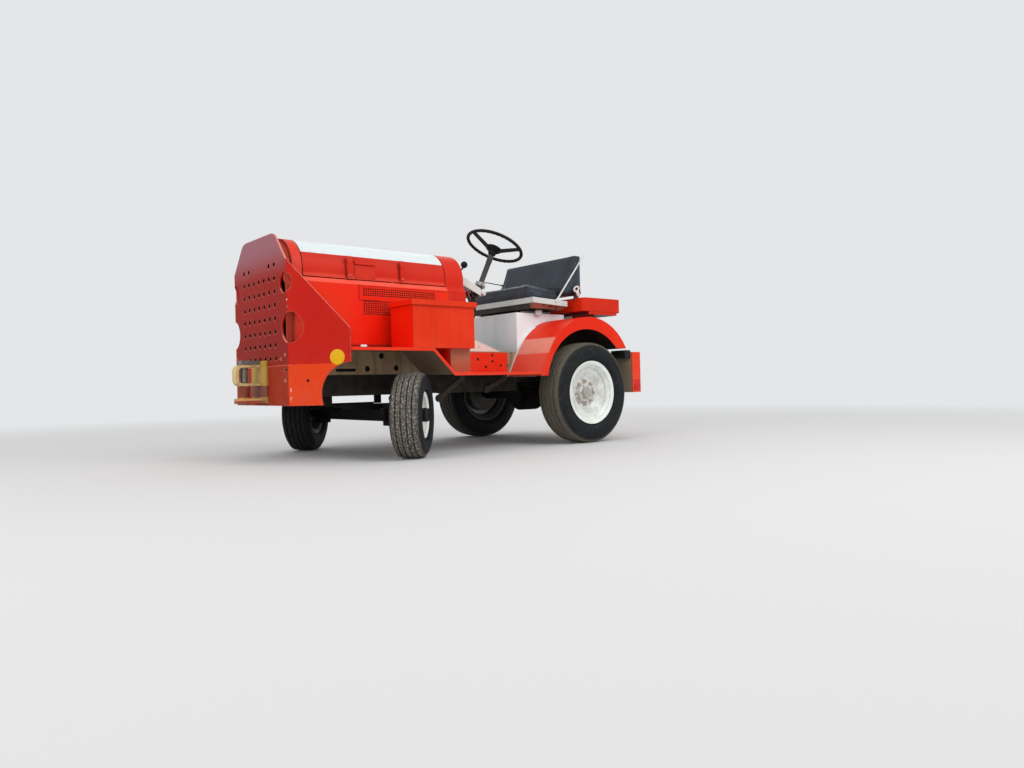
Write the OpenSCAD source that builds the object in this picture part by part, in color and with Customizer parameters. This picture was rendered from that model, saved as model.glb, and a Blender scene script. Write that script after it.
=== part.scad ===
// Airport baggage tug, a four-wheel tow tractor. Millimetres, +Z up, front towards -Y,
// the vehicle's left side towards +X. The origin is on the ground under the middle of the box.

/* [Overall] */
// Distance between the axles
wheelbase = 1490; // [1450:10:1550]
// From the front axle forward to the face of the guard
guard_ahead = 621; // [610:1:640]
// From the rear axle back to the rear face of the bumper
bumper_behind = 570; // [565:1:590]
// From the guard forward to the nose of the front hitch
front_hitch_l = 159; // [150:1:170]
// From the bumper back to the tail of the rear hitch
rear_hitch_l = 110; // [100:1:130]

/* [Wheels] */
// Outer diameter of the rear tyres
rear_tyre_d = 710; // [690:2:720]
// Section width of the rear tyres
rear_tyre_w = 215; // [200:1:220]
// Diameter of the rear rim lip
rear_rim_d = 445; // [430:1:450]
// Middle of a rear tyre from the middle of the tug
rear_track_x = 608; // [600:1:620]
// Outer diameter of the front tyres
front_tyre_d = 512; // [500:2:520]
// Section width of the front tyres
front_tyre_w = 200; // [190:1:205]
// Diameter of the front rim lip
front_rim_d = 278; // [270:1:285]
// Middle of a front tyre outboard of its kingpin
front_offset = 100; // [95:1:110]
// Kingpin from the middle of the tug
kingpin_x = 500; // [490:1:510]
// Steering angle of the front wheels as parked, to the left
steer_angle = 45; // [0:1:45]

/* [Front guard] */
// Width of the guard's front plate between its folds
guard_w = 772; // [740:2:800]
// Thickness of the guard plate
guard_t = 12; // [8:1:14]
// Height of the guard's top edge
guard_top_z = 1330; // [1320:5:1350]
// Width of the guard's top edge
guard_top_w = 460; // [400:10:500]
// Height at which the top corners reach the folds
guard_shoulder_z = 1158; // [1140:2:1180]
// Height of the guard's bottom edge
guard_bottom_z = 335; // [325:5:350]
// Length of each side wing
wing_l = 370; // [350:1:380]
// Angle that each wing is folded back
wing_turn = 40; // [36:1:44]
// Height of the wing's rear top corner
wing_rear_z = 760; // [740:5:780]
// Diameter of the small holes
vent_hole_d = 31; // [26:1:34]
// Spacing of the small holes across the guard
vent_pitch = 75; // [70:1:78]
// Spacing of the rows of small holes
vent_row_h = 77; // [74:1:78]

/* [Body] */
// From a fold of the guard in to the engine side
body_inset = 26; // [20:1:30]
// Width of the ledge beside the hood cover
ledge_w = 25; // [20:1:30]
// Height of the hood's flat top
hood_top_z = 1312; // [1300:2:1325]
// Radius of the hood's top corners
hood_r = 190; // [150:5:200]
// Height of the ledge that the hood cover closes on
ledge_z = 1075; // [1065:1:1085]
// Wall thickness of the sheet metal
sheet = 5; // [4:0.5:6]
// Length of the front cowl
front_cowl_l = 105; // [95:5:115]
// Length of the hood cover
hood_l = 1005; // [980:5:1020]
// Length of the rear cowl
rear_cowl_l = 145; // [130:5:160]

/* [Steps and frame] */
// Half width over the step plates
step_half_w = 660; // [650:2:664]
// Height of the front step plates
step_front_z = 655; // [645:1:660]
// Height of the low step by the driver
step_low_z = 506; // [500:1:520]
// Outer face of the frame side plates from the middle
frame_half_w = 300; // [290:1:310]
// Thickness of the frame side plates
frame_t = 12; // [10:1:16]

/* [Toolbox] */
// Length of the toolbox
toolbox_l = 450; // [420:10:460]
// Width of the toolbox
toolbox_w = 248; // [240:2:250]
// Height of the toolbox under its lid
toolbox_h = 268; // [250:2:280]

/* [Seat] */
// Half width of the seat pan
pan_half_w = 400; // [380:5:410]
// Height of the front of the seat pan
pan_z = 1046; // [1040:1:1050]
// Thickness of the cushion
cushion_h = 96; // [85:1:105]
// Height of the top of the backrest
back_top_z = 1388; // [1370:2:1400]
// Thickness of the backrest at its top; its front face leans
back_t = 85; // [75:1:90]

/* [Steering] */
// Diameter of the steering wheel
steering_d = 420; // [400:5:430]
// Middle of the steering wheel from the middle of the tug
steering_x = 260; // [240:5:265]
// Lean of the steering column back from upright
column_lean = 26; // [22:0.5:30]

/* [Hidden] */
$fn = 48;

// clearances
seat_gap = 0.3;      // between pieces that rest on each other
run_gap = 0.05;      // radial, a shaft in its bore
move_gap = 6;        // between a moving cover and its neighbours

// axle lines
overall_l = front_hitch_l + guard_ahead + wheelbase + bumper_behind + rear_hitch_l;
rear_y = overall_l / 2 - rear_hitch_l - bumper_behind;
front_y = rear_y - wheelbase;
rear_z = rear_tyre_d / 2;
front_z = front_tyre_d / 2;

// guard
guard_y = front_y - guard_ahead;
guard_back_y = guard_y + guard_t;
fold_r = 22;
wheel_cut_r = 180;
wheel_cut_z = 393;

// body stations along the tug and half widths
side_half_w = guard_w / 2 - body_inset;
hood_half_w = side_half_w - ledge_w;
cowl_y0 = guard_back_y + 4;
cowl_front_l = 45;
cowl_front_inset = 18;
hood_y0 = cowl_y0 + front_cowl_l;
hood_y1 = hood_y0 + hood_l;
cowl_y1 = hood_y1 + rear_cowl_l;
body_z0 = step_front_z + seat_gap;

// steps
step_slope_y0 = hood_y1 - 323;
step_slope_y1 = step_slope_y0 + 153;
step_y1 = rear_y - 447;
step_t = 6;
step_lip = 18;

// frame
frame_in_x = frame_half_w - frame_t;
frame_y0 = guard_back_y + seat_gap;
frame_y1 = rear_y + bumper_behind - 90 - seat_gap;
rail_w = 78;
rail_top_z = 545;
front_rail_z = 380;
rear_rail_z = 480;
rear_plate_z = 440;
flange_t = 6;
// holes of the side plates as [y from the rear axle, z, radius]
side_holes = [[-1560, 542, 18], [-1460, 622, 18], [-1356, 547, 18], [-710, 601, 10], [-582, 629, 10],
    [-583, 587, 10], [-641, 549, 10], [-507, 559, 10], [-446, 559, 10]];

// toolbox
toolbox_x0 = step_half_w - toolbox_w;
toolbox_y1 = hood_y1 - 20;
toolbox_y0 = toolbox_y1 - toolbox_l;
toolbox_z1 = body_z0 + toolbox_h;
lid_over = 8;
lid_h = 32;
lid_skirt = 14;
lid_pin_r = 5;
lid_pin = [toolbox_x0 - 8, toolbox_z1 + 8];

// hood hinge on the right-hand side
hinge_r = 9;
hinge_pin_r = 5;
hinge_x = -(hood_half_w + hinge_r + 2);
hinge_z = ledge_z + 4;
hinge_l = 80;
hinge_ys = [hood_y0 + 186, hood_y1 - 266];

// driver's place
dash_half_w = 310;
dash_y1 = rear_y - 671;
dash_z0 = 1170;
dash_z1 = 1088;
column_top = [steering_x, rear_y - 511, 1378];
column_l = 470;
column_r = 25;
shaft_r = 10;
pan_y0 = rear_y - 270;
pan_y1 = rear_y + 70;
pan_fall = 16;
pan_lip = 40;
box_top_z = 940;
back_y0 = rear_y + 45;
back_y1 = rear_y + 235;

// steering linkage
knuckle_pin_r = 16;
arm = 120;
ball_r = 7;
spindle_r = 20;
rear_spindle_r = 25;
axle_top_z = front_z + 35;
axle_tube_r = 42;

// fenders
fender_r = 437;
fender_y = rear_y + 35;
fender_z = 455;
arch_r = 400;
arch_y = rear_y + 10;
arch_z = 404;
fender_front_z = 478;
fender_rear_z = 672;
flare = [[-451, fender_front_z], [-351, 660]];   // the straight front of the fender, y from the rear axle

// deck behind the seat
deck_plate_z = fender_z + fender_r + 40;
deck_z0 = deck_plate_z + 23;
deck_h = 100;
deck_half_w = 500;
deck_y0 = rear_y + 140;
deck_y1 = rear_y + 550;

// bumper and hitches
bumper_y0 = frame_y1 + seat_gap;
bumper_y1 = rear_y + bumper_behind;
bumper_z0 = 344;
bumper_z1 = 646;
nose_y = -overall_l / 2;
hitch_pin_r = 22;
hitch_pin_y = guard_y - 101;

module along_y(y0, y1) translate([0, y1, 0]) rotate([90, 0, 0]) linear_extrude(y1 - y0) children();
module along_x(x0, x1) translate([x0, 0, 0]) rotate([90, 0, 90]) linear_extrude(x1 - x0) children();
module block(p0, p1) translate(p0) cube(p1 - p0);
module both_sides() { children(); mirror([1, 0, 0]) children(); }
module rod(p, q, r) {
    v = q - p;
    l = norm(v);
    translate(p) rotate([0, acos(v[2] / l), atan2(v[1], v[0])]) cylinder(r = r, h = l);
}
module pin_x(x0, x1, y, z, r) translate([x0, y, z]) rotate([0, 90, 0]) cylinder(r = r, h = x1 - x0);
module pin_y(y0, y1, x, z, r) translate([x, y0, z]) rotate([-90, 0, 0]) cylinder(r = r, h = y1 - y0);
function unit(v) = v / norm(v);
function arc(c, r, a0, a1, n = 4) = [for (i = [0:n]) c + r * [cos(a0 + (a1 - a0) * i / n), sin(a0 + (a1 - a0) * i / n)]];
function mirrored(half) = concat(half, [for (i = [len(half) - 1:-1:0])
    [for (j = [0:len(half[i]) - 1]) j == 0 ? -half[i][0] : half[i][j]]]);
// an outline through corners [x, y, how far the rounding of the corner reaches]
function rounded(p, n = 4) = [for (i = [0:len(p) - 1])
    let (b = [p[i][0], p[i][1]], d = p[i][2], a = p[(i + len(p) - 1) % len(p)], c = p[(i + 1) % len(p)],
        u = b + d * unit([a[0], a[1]] - b), v = b + d * unit([c[0], c[1]] - b))
    for (t = d == 0 ? [0] : [0:1 / n:1]) (1 - t) * (1 - t) * u + 2 * t * (1 - t) * b + t * t * v];

// cross-section of the body, inset by i
module body_outline(i = 0, z0 = 0) {
    w = side_half_w - i;
    u = hood_half_w - i;
    zc = hood_top_z - hood_r;
    zl = ledge_z - i;
    polygon([[-w, z0], [w, z0], [w, zl - ledge_w], [u, zl], [u, zc], [-u, zc], [-u, zl], [-w, zl - ledge_w]]);
    for (s = [-1, 1]) translate([s * (hood_half_w - hood_r), zc]) circle(hood_r - i);
    translate([-(hood_half_w - hood_r), zc - 1]) square([2 * (hood_half_w - hood_r), hood_r - i + 1]);
}
module body_ring(i, j, z0) difference() { body_outline(i, z0); body_outline(j, z0 - 1); }

module side_hole_pins() for (h = side_holes) pin_x(frame_in_x - 1, frame_half_w + 10, rear_y + h[0], h[1], h[2]);

module main_frame() color("tan") {
    both_sides() difference() {
        along_x(frame_in_x, frame_half_w)
            polygon([[frame_y0, step_low_z], [frame_y0, step_front_z], [frame_y1, step_front_z],
                [frame_y1, rear_plate_z], [rear_y - 350, rear_plate_z], [rear_y - 420, step_low_z]]);
        side_hole_pins();
        block([frame_in_x - 1, rear_y - 1773, 526], [frame_half_w + 1, rear_y - 1640, 544]);
    }
    both_sides() {
        block([frame_in_x - rail_w, frame_y0, front_rail_z], [frame_in_x + 1, rear_y - 350, rail_top_z]);
        block([frame_in_x - rail_w, rear_y - 360, rear_rail_z], [frame_in_x + 1, frame_y1, rail_top_z]);
        // flange that the rear half of the body stands on
        block([frame_half_w - 1, step_slope_y0 + 22, step_front_z - flange_t], [side_half_w, cowl_y1, step_front_z]);
    }
    for (y = [frame_y0, front_y - 40, front_y + 330, rear_y - 420, rear_y + 400])
        block([-frame_in_x, y, 420], [frame_in_x, y + 60, rail_top_z - 10]);
    block([-frame_in_x, rear_y - 900, rail_top_z - 15], [frame_in_x, rear_y + 400, rail_top_z]);
}

// plan of the bent guard plate
module guard_plan() {
    c = [guard_w / 2 - fold_r * tan(wing_turn / 2), guard_y + fold_r];
    along = [cos(wing_turn), sin(wing_turn)];
    tip = [guard_w / 2, guard_y] + (wing_l + 1) * along;
    polygon(mirrored(concat(arc(c, fold_r, -90, wing_turn - 90), [tip, tip + guard_t * [-along[1], along[0]]],
        arc(c, fold_r - guard_t, wing_turn - 90, -90))));
}
module wing_frame() translate([guard_w / 2, guard_y, 0]) rotate([0, 0, wing_turn]) children();
module guard_outline() polygon(rounded(mirrored([[guard_w / 2 + 7, guard_bottom_z, 0],
    [guard_w / 2 + 7, guard_shoulder_z, 0], [guard_w / 2 - 8, guard_shoulder_z, 12], [guard_top_w / 2, guard_top_z, 45]])));
module wing_outline() difference() {
    polygon(rounded([[5, guard_bottom_z, 0], [wing_l, guard_bottom_z, 0], [wing_l, wing_rear_z, 12],
        [5, guard_shoulder_z - 5, 0]]));
    translate([wing_l + 4, wheel_cut_z]) circle(wheel_cut_r);
}
// a round hole cut before the plate was folded, its middle s outboard of the fold
module fold_hole(z, r, s) {
    pin_y(guard_y - 1, guard_back_y + 6, guard_w / 2 + s, z, r);
    wing_frame() pin_y(-1, guard_t + 1, s, z, r);
}
module front_guard() color("orangered") difference() {
    intersection() {
        translate([0, 0, guard_bottom_z]) linear_extrude(guard_top_z - guard_bottom_z) guard_plan();
        union() {
            along_y(guard_y - 1, guard_y + 40) guard_outline();
            both_sides() wing_frame() along_y(-1, guard_t + 1) wing_outline();
        }
    }
    // the top row has only its two outer holes on each side
    for (row = [0:7], col = [-3:3])
        if (row > 0 || abs(col) > 1)
            pin_y(guard_y - 1, guard_back_y + 1, col * vent_pitch, guard_shoulder_z - 14 - row * vent_row_h, vent_hole_d / 2);
    both_sides() {
        fold_hole(1030, 60, -31);
        fold_hole(775, 87, 12);
    }
}
// plan of all that lies ahead of the guard's inner faces, moved back by g
module ahead_of_guard(g) {
    along = [cos(wing_turn), sin(wing_turn)];
    c = [guard_w / 2 - (guard_t + g) * tan(wing_turn / 2), guard_back_y + g];
    polygon(mirrored([c + (wing_l + 60) * along - [0, wing_l + 60], c + (wing_l + 60) * along, c + 9 * along, c - [9, 0]]));
}

module front_cowl() color("orangered") {
    y = cowl_y0 + cowl_front_l;
    i = cowl_front_inset;
    along_y(cowl_y0, y + 1) body_ring(i, i + sheet, body_z0);
    along_y(y, y + sheet) body_ring(0, i + sheet, body_z0);
    along_y(y, hood_y0) body_ring(0, sheet, body_z0);
    difference() {
        along_y(hood_y0 - 12, hood_y0) body_outline(sheet - 0.5, body_z0);
        along_y(hood_y0 - 13, hood_y0 + 1) translate([-250, step_front_z + 40]) square([500, 520]);
    }
}

module hood_cover() color("orangered") {
    y0 = hood_y0 + move_gap;
    y1 = hood_y1 - move_gap;
    along_y(y0, y1) intersection() {
        body_ring(0, sheet, step_front_z);
        translate([-side_half_w, ledge_z + move_gap]) square([2 * side_half_w, hood_top_z]);
    }
    for (y = hinge_ys) difference() {
        union() {
            pin_y(y, y + hinge_l, hinge_x, hinge_z, hinge_r);
            block([hinge_x, y, hinge_z + 3], [-hood_half_w + 2, y + hinge_l, hinge_z + hinge_r]);
        }
        pin_y(y - 1, y + hinge_l + 1, hinge_x, hinge_z, hinge_pin_r + run_gap);
    }
    for (y = [hood_y1 - 335, hood_y1 - 705]) hood_latch(y);
}
module hood_latch(y) along_y(y - 17, y + 17)
    polygon([[hood_half_w - 1, 1088], [hood_half_w + 13, 1098], [hood_half_w + 15, 1185], [hood_half_w - 1, 1218]]);

module engine_side() difference() {
    along_y(hood_y0 + seat_gap, hood_y1 - seat_gap) intersection() {
        body_ring(0, sheet, body_z0);
        translate([0, step_front_z]) square([side_half_w + 1, ledge_z - step_front_z - 0.01]);
    }
    // two bands of small square vents
    for (col = [0:32], z = [982, 995, 1008, 1021, 868, 881, 894, 907, 920, 933, 946])
        translate([side_half_w - sheet - 1, hood_y1 - 627 + col * 16, z]) cube([sheet + 2, 11, 8]);
}
module engine_side_left() color("orangered") engine_side();
module engine_side_right() color("orangered") {
    mirror([1, 0, 0]) engine_side();
    for (y = hinge_ys) {
        pin_y(y - 20, y + hinge_l + 20, hinge_x, hinge_z, hinge_pin_r);
        for (k = [y - 25, y + hinge_l + 5]) {
            pin_y(k, k + 20, hinge_x, hinge_z, hinge_r);
            block([hinge_x - hinge_r, k, ledge_z - ledge_w - 12], [-hood_half_w - 2, k + 20, hinge_z]);
        }
    }
}

module rear_cowl() color("orangered") {
    along_y(hood_y1, cowl_y1) body_ring(0, sheet, body_z0);
    difference() {
        along_y(cowl_y1 - sheet, cowl_y1) body_outline(sheet - 0.5, body_z0);
        along_y(cowl_y1 - sheet - 1, cowl_y1 + 1) translate([-200, step_front_z + 30]) square([400, 260]);
    }
}

// side view of the step plate, a bent strip t thick
module step_strip(t) {
    s = step_front_z;
    l = step_low_z;
    polygon([[guard_y, s], [step_slope_y0, s], [step_slope_y1, l], [step_y1, l],
        [step_y1, l - t], [step_slope_y1 - 0.4 * t, l - t], [step_slope_y0 - 0.4 * t, s - t], [guard_y, s - t]]);
}
module step_plate() difference() {
    union() {
        along_x(frame_half_w + seat_gap, step_half_w) step_strip(step_t);
        along_x(step_half_w - step_t, step_half_w) step_strip(step_lip);
        block([frame_half_w + seat_gap, step_slope_y1, step_low_z - 1],
            [frame_half_w + 8, step_y1, step_front_z - flange_t - seat_gap]);
    }
    side_hole_pins();
    translate([0, 0, step_front_z - 100]) linear_extrude(200) ahead_of_guard(seat_gap);
}
module step_left() color("orangered") {
    step_plate();
    // panels that carry the rear half of the toolbox
    block([step_half_w - 56, step_slope_y1 + 5, step_low_z - 1], [step_half_w - 50, toolbox_y1, step_front_z]);
    block([toolbox_x0 + 28, step_slope_y1 - 1, step_low_z - 1], [step_half_w - 50, step_slope_y1 + 5, step_front_z]);
}
module step_right() color("orangered") mirror([1, 0, 0]) step_plate();

module toolbox() color("orangered") {
    difference() {
        block([toolbox_x0, toolbox_y0, body_z0], [step_half_w, toolbox_y1, toolbox_z1]);
        block([toolbox_x0 + sheet, toolbox_y0 + sheet, body_z0 + sheet],
            [step_half_w - sheet, toolbox_y1 - sheet, toolbox_z1 + 1]);
    }
    for (y = [toolbox_y0 + 60, toolbox_y1 - 120]) {
        pin_y(y - 12, y + 72, lid_pin[0], lid_pin[1], lid_pin_r);
        for (k = [y - 15, y + 60]) {
            pin_y(k, k + 15, lid_pin[0], lid_pin[1], 8);
            block([lid_pin[0] - 8, k, toolbox_z1 - 30], [toolbox_x0 + 1, k + 15, toolbox_z1 + 4]);
        }
    }
}
module toolbox_lid() color("orangered") {
    o = lid_over + move_gap;
    g = move_gap;
    difference() {
        block([toolbox_x0 + 2, toolbox_y0 - o, toolbox_z1 - lid_skirt],
            [step_half_w + o, toolbox_y1 + o, toolbox_z1 - lid_skirt + lid_h]);
        block([toolbox_x0 - 1, toolbox_y0 - g, toolbox_z1 - lid_skirt - 1], [step_half_w + g, toolbox_y1 + g, toolbox_z1 + 1]);
    }
    for (y = [toolbox_y0 + 60, toolbox_y1 - 120]) difference() {
        union() {
            pin_y(y + 0.5, y + 59.5, lid_pin[0], lid_pin[1], 8);
            block([lid_pin[0], y + 0.5, lid_pin[1] + 3], [toolbox_x0 + 4, y + 59.5, lid_pin[1] + 8]);
        }
        pin_y(y, y + 60, lid_pin[0], lid_pin[1], lid_pin_r + run_gap);
    }
}

module column_frame() translate(column_top) rotate([-column_lean, 0, 0]) children();
// side view of the dash, its sheet t thick
module dash_side(t) polygon([[cowl_y1 + seat_gap - t, dash_z0 - 60 - 2 * t], [cowl_y1 + seat_gap - t, dash_z0 - 1.3 * t],
    [dash_y1 - t, dash_z1 - 1.3 * t], [dash_y1 - t, dash_z1 - 50 - 2 * t]]);
module dash_panel() color("whitesmoke") difference() {
    union() {
        difference() {
            along_x(-dash_half_w, dash_half_w) dash_side(0);
            along_x(-dash_half_w + 4, dash_half_w - 4) dash_side(4);
        }
        column_frame() translate([-42, -60, -352]) cube([84, 102, 20]);
    }
    column_frame() translate([0, 0, -column_l]) cylinder(r = column_r + seat_gap, h = column_l);
}
module toe_board() color("whitesmoke") along_x(-frame_half_w + 2, frame_half_w - 2)
    polygon([[cowl_y1 + seat_gap, 774], [cowl_y1 + seat_gap, 779], [rear_y - 505, body_z0 + 4], [rear_y - 500, body_z0],
        [rear_y - 510, body_z0]]);

module steering_column() color("dimgray") {
    column_frame() {
        translate([0, 0, -column_l]) cylinder(r = column_r, h = column_l - 52);
        translate([0, 0, -298]) cylinder(r = column_r + 5, h = 24);
        translate([0, 0, -60]) cylinder(r = shaft_r, h = 60);
    }
    rod([steering_x + column_r - 3, rear_y - 631, 1134], [steering_x + 32, rear_y - 466, 1123], 4);
}
module steering_wheel() color("black") column_frame() {
    r = steering_d / 2 - 12;
    rotate_extrude() translate([r, 27]) circle(12, $fn = 10);
    difference() {
        union() {
            translate([0, 0, -38]) cylinder(r1 = 26, r2 = 44, h = 46);
            translate([0, 0, 8]) cylinder(r1 = 44, r2 = 34, h = 8);
        }
        translate([0, 0, -39]) cylinder(r = shaft_r + run_gap, h = 40);
    }
    for (a = [90, 210, 330]) rotate([0, 0, a]) rod([35, 0, 2], [r, 0, 27], 8);
}

// a hand lever with a ball knob, on a foot that sits flat on the dash
module controls() color("dimgray") {
    foot_y = rear_y - 800;
    fall = (dash_z0 - dash_z1) / (dash_y1 - cowl_y1);
    foot = [150, foot_y, dash_z0 - fall * (foot_y - cowl_y1)];
    translate(foot) rotate([-atan(fall), 0, 0]) translate([0, 0, seat_gap]) cylinder(r = 14, h = 8);
    rod(foot + [0, 2, 5], [150, rear_y - 694, 1256], 6);
    translate([150, rear_y - 689, 1272]) sphere(24);
}

module seat_box() color("gainsboro")
    block([-frame_half_w + 2, rear_y - 345, body_z0], [frame_half_w - 2, rear_y + 130, box_top_z]);
module seat_pan() color("whitesmoke") {
    along_x(-pan_half_w, pan_half_w) polygon([[pan_y0, pan_z], [pan_y1, pan_z - pan_fall],
        [pan_y1, pan_z - pan_fall - pan_lip], [pan_y0, pan_z - pan_lip]]);
    // tapered tray, its bearers and a bolted bracket on each side
    along_y(pan_y0 + 8, pan_y1 - 8) polygon(mirrored([[pan_half_w - 6, pan_z - pan_lip], [pan_half_w - 40, 970]]));
    both_sides() {
        block([180, pan_y0 + 60, box_top_z + seat_gap], [230, pan_y1 - 20, 972]);
        block([frame_half_w + 20, rear_y - 180, box_top_z - 15], [frame_half_w + 26, rear_y - 120, 975]);
    }
}
module seat_cushion() color("black") along_x(-pan_half_w + 30, pan_half_w - 30)
    polygon(rounded([[pan_y0 - 30, pan_z + 2, 12], [pan_y0 - 30, pan_z + cushion_h + 3, 28],
        [pan_y1 - 35, pan_z - 11 + cushion_h - 24, 28], [pan_y1 - 35, pan_z - pan_fall + 2, 0],
        [pan_y0, pan_z + seat_gap, 0]]));
module seat_back() color("black") along_x(-pan_half_w, pan_half_w)
    polygon(rounded([[back_y0, 1081, 0], [back_y0, 1100, 10], [back_y1 - back_t, back_top_z, 25], [back_y1, back_top_z, 25],
        [back_y1, 1081, 10]]));
module seat_stays() color("white") both_sides()
    rod([pan_half_w + 6.3, rear_y + 246, 1383], [pan_half_w + 6.3, rear_y - 54, 1019], 6);

module deck_plan(i) translate([0, deck_y0]) polygon(rounded(mirrored([[deck_half_w - i, i, 45 - i],
    [deck_half_w - i, deck_y1 - deck_y0 - i, 45 - i]])));
module rear_deck() color("orangered") {
    difference() {
        translate([0, 0, deck_z0]) linear_extrude(deck_h) deck_plan(0);
        translate([0, 0, deck_z0 - 1]) linear_extrude(deck_h + 1 - sheet) deck_plan(sheet);
    }
    block([-deck_half_w + 3, deck_y0 + 55, deck_plate_z], [deck_half_w - 3, deck_y1 - 50, deck_z0 + 3]);
    both_sides() {
        block([frame_half_w - 32, rear_y + 250, body_z0], [frame_half_w - 2, frame_y1 - 5, deck_plate_z + 1]);
        block([300, back_y1 + seat_gap, deck_z0 + deck_h - 1], [330, back_y1 + 20, deck_z0 + 245]);
    }
}

module fender_zone() polygon([[rear_y - 600, fender_front_z], [rear_y, fender_front_z], [rear_y, fender_rear_z],
    [rear_y + 600, fender_rear_z], [rear_y + 600, 1000], [rear_y - 600, 1000]]);
module fender_outline(i) {
    translate([fender_y, fender_z]) circle(fender_r - i);
    translate([rear_y + i, 0]) polygon([[flare[0][0], flare[0][1] - 1], flare[1], [-250, flare[1][1]], [-250, flare[0][1] - 1]]);
}
module rear_fender() {
    along_x(frame_half_w + seat_gap, frame_half_w + sheet) intersection() { fender_outline(1); fender_zone(); }
    along_x(frame_half_w + seat_gap, step_half_w) intersection() {
        difference() { fender_outline(0); fender_outline(sheet); }
        fender_zone();
    }
    along_x(step_half_w - sheet, step_half_w) intersection() {
        difference() { fender_outline(0); translate([arch_y, arch_z]) circle(arch_r); }
        fender_zone();
    }
}
module rear_fender_left() color("orangered") rear_fender();
module rear_fender_right() color("orangered") mirror([1, 0, 0]) rear_fender();

module rear_bumper() color("orangered") difference() {
    block([-step_half_w, bumper_y0, bumper_z0], [step_half_w, bumper_y1, bumper_z1]);
    for (x = [-200, -120, 120, 200], z = [420, 480]) pin_y(bumper_y0 - 1, bumper_y1 + 1, x, z, 9);
}

radiator_y = guard_back_y + 130;
engine_y0 = radiator_y + 230;
module radiator() color("black") block([-230, radiator_y, rail_top_z + seat_gap], [230, radiator_y + 70, 1180]);
module engine() color("dimgray") {
    block([-195, engine_y0, rail_top_z + seat_gap], [195, engine_y0 + 670, 1000]);
    block([-150, engine_y0 + 669, rail_top_z + seat_gap], [150, engine_y0 + 1150, step_front_z - 15]);
}

module front_axle() color("black") {
    web_x = kingpin_x - 100;
    block([-web_x - 25, front_y - 35, front_z - 30], [web_x + 25, front_y + 35, axle_top_z]);
    both_sides() difference() {
        union() {
            block([web_x, front_y - 30, front_z - 62], [web_x + 25, front_y + 30, front_z + 72]);
            for (z = [front_z - 62, front_z + 42]) {
                translate([kingpin_x, front_y, z]) cylinder(r = 32, h = 30);
                block([web_x + 20, front_y - 30, z], [kingpin_x, front_y + 30, z + 30]);
            }
        }
        translate([kingpin_x, front_y, front_z - 70]) cylinder(r = knuckle_pin_r + run_gap, h = 200);
    }
}
// knuckle in the tug's left-hand form, straight ahead, about its kingpin
module knuckle_form() {
    translate([0, 0, -68]) cylinder(r = knuckle_pin_r, h = 146);
    translate([0, 0, -31.7]) cylinder(r = 30, h = 73.4);
    pin_x(20, 90, 0, 0, 26);
    pin_x(88, 190, 0, 0, spindle_r);
    // steering arm
    block([-14, 20, -20], [14, arm, -2]);
    translate([0, arm, -20]) cylinder(r = 15, h = 18);
    translate([0, arm, -50]) cylinder(r = ball_r, h = 32);
}
module knuckle_left() color("black")
    translate([kingpin_x, front_y, front_z]) rotate([0, 0, steer_angle]) knuckle_form();
module knuckle_right() color("black")
    translate([-kingpin_x, front_y, front_z]) rotate([0, 0, steer_angle]) mirror([1, 0, 0]) knuckle_form();
tie_y = front_y + arm * cos(steer_angle);
tie_x = -arm * sin(steer_angle);
module tie_rod() color("black") {
    difference() {
        for (s = [-1, 1]) translate([tie_x + s * kingpin_x, tie_y, front_z - 46]) cylinder(r = 15, h = 20);
        for (s = [-1, 1]) translate([tie_x + s * kingpin_x, tie_y, front_z - 60]) cylinder(r = ball_r + run_gap, h = 40);
    }
    pin_x(tie_x - kingpin_x + 12, tie_x + kingpin_x - 12, tie_y, front_z - 36, 9);
}
// rows are [axle line, top of the axle, underside of the rail]
module leaf_springs() color("black")
    for (k = [[front_y, axle_top_z, front_rail_z], [rear_y, rear_z + axle_tube_r, rear_rail_z]])
        both_sides() translate([frame_half_w - 75, k[0], k[1] + seat_gap]) {
            for (i = [0:3]) translate([0, -150 - i * 60, i * 9]) cube([50, 300 + i * 120, 9.1]);
            for (e = [-330, 300]) translate([0, e, 30]) cube([50, 30, k[2] - k[1] - 30 - 2 * seat_gap]);
        }
module rear_axle() color("black") {
    pin_x(-rear_track_x + 108, rear_track_x - 108, rear_y, rear_z, axle_tube_r);
    pin_y(rear_y - 75, rear_y + 75, 0, rear_z, 128);
    pin_y(rear_y - 140, rear_y + 105, 0, rear_z, 84);
    both_sides() pin_x(rear_track_x - 113, rear_track_x + 32, rear_y, rear_z, rear_spindle_r);
}

// section of a tyre, radius along X and width along Y, its beads inside the lips of a rim half_w either side
module tyre_section(r_out, r_lip, half_w, w, tread) difference() {
    r_in = r_lip - 18;
    h = r_out - r_in;
    m = w / 2;
    t = tread / 2;
    half = [[r_in, half_w - 14], [r_lip + 2, half_w - 12], [r_in + 0.26 * h, m - 7], [r_in + 0.36 * h, m - 1.5],
        [r_in + 0.48 * h, m], [r_in + 0.62 * h, m - 2], [r_in + 0.76 * h, m - 7], [r_out - 0.1 * h, m - 15],
        [r_out - 7, t], [r_out - 2, t - 24], [r_out, 0.35 * t]];
    polygon(concat(half, [for (i = [len(half) - 1:-1:0]) [half[i][0], -half[i][1]]]));
    for (g = [-0.67, -0.23, 0.23, 0.67]) translate([r_out - 9, g * t - 4]) square([20, 8]);
}
module tyre(d, rim_d, half_w, w, tread) rotate([0, 90, 0])
    rotate_extrude() tyre_section(d / 2, rim_d / 2, half_w, w, tread);

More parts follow.
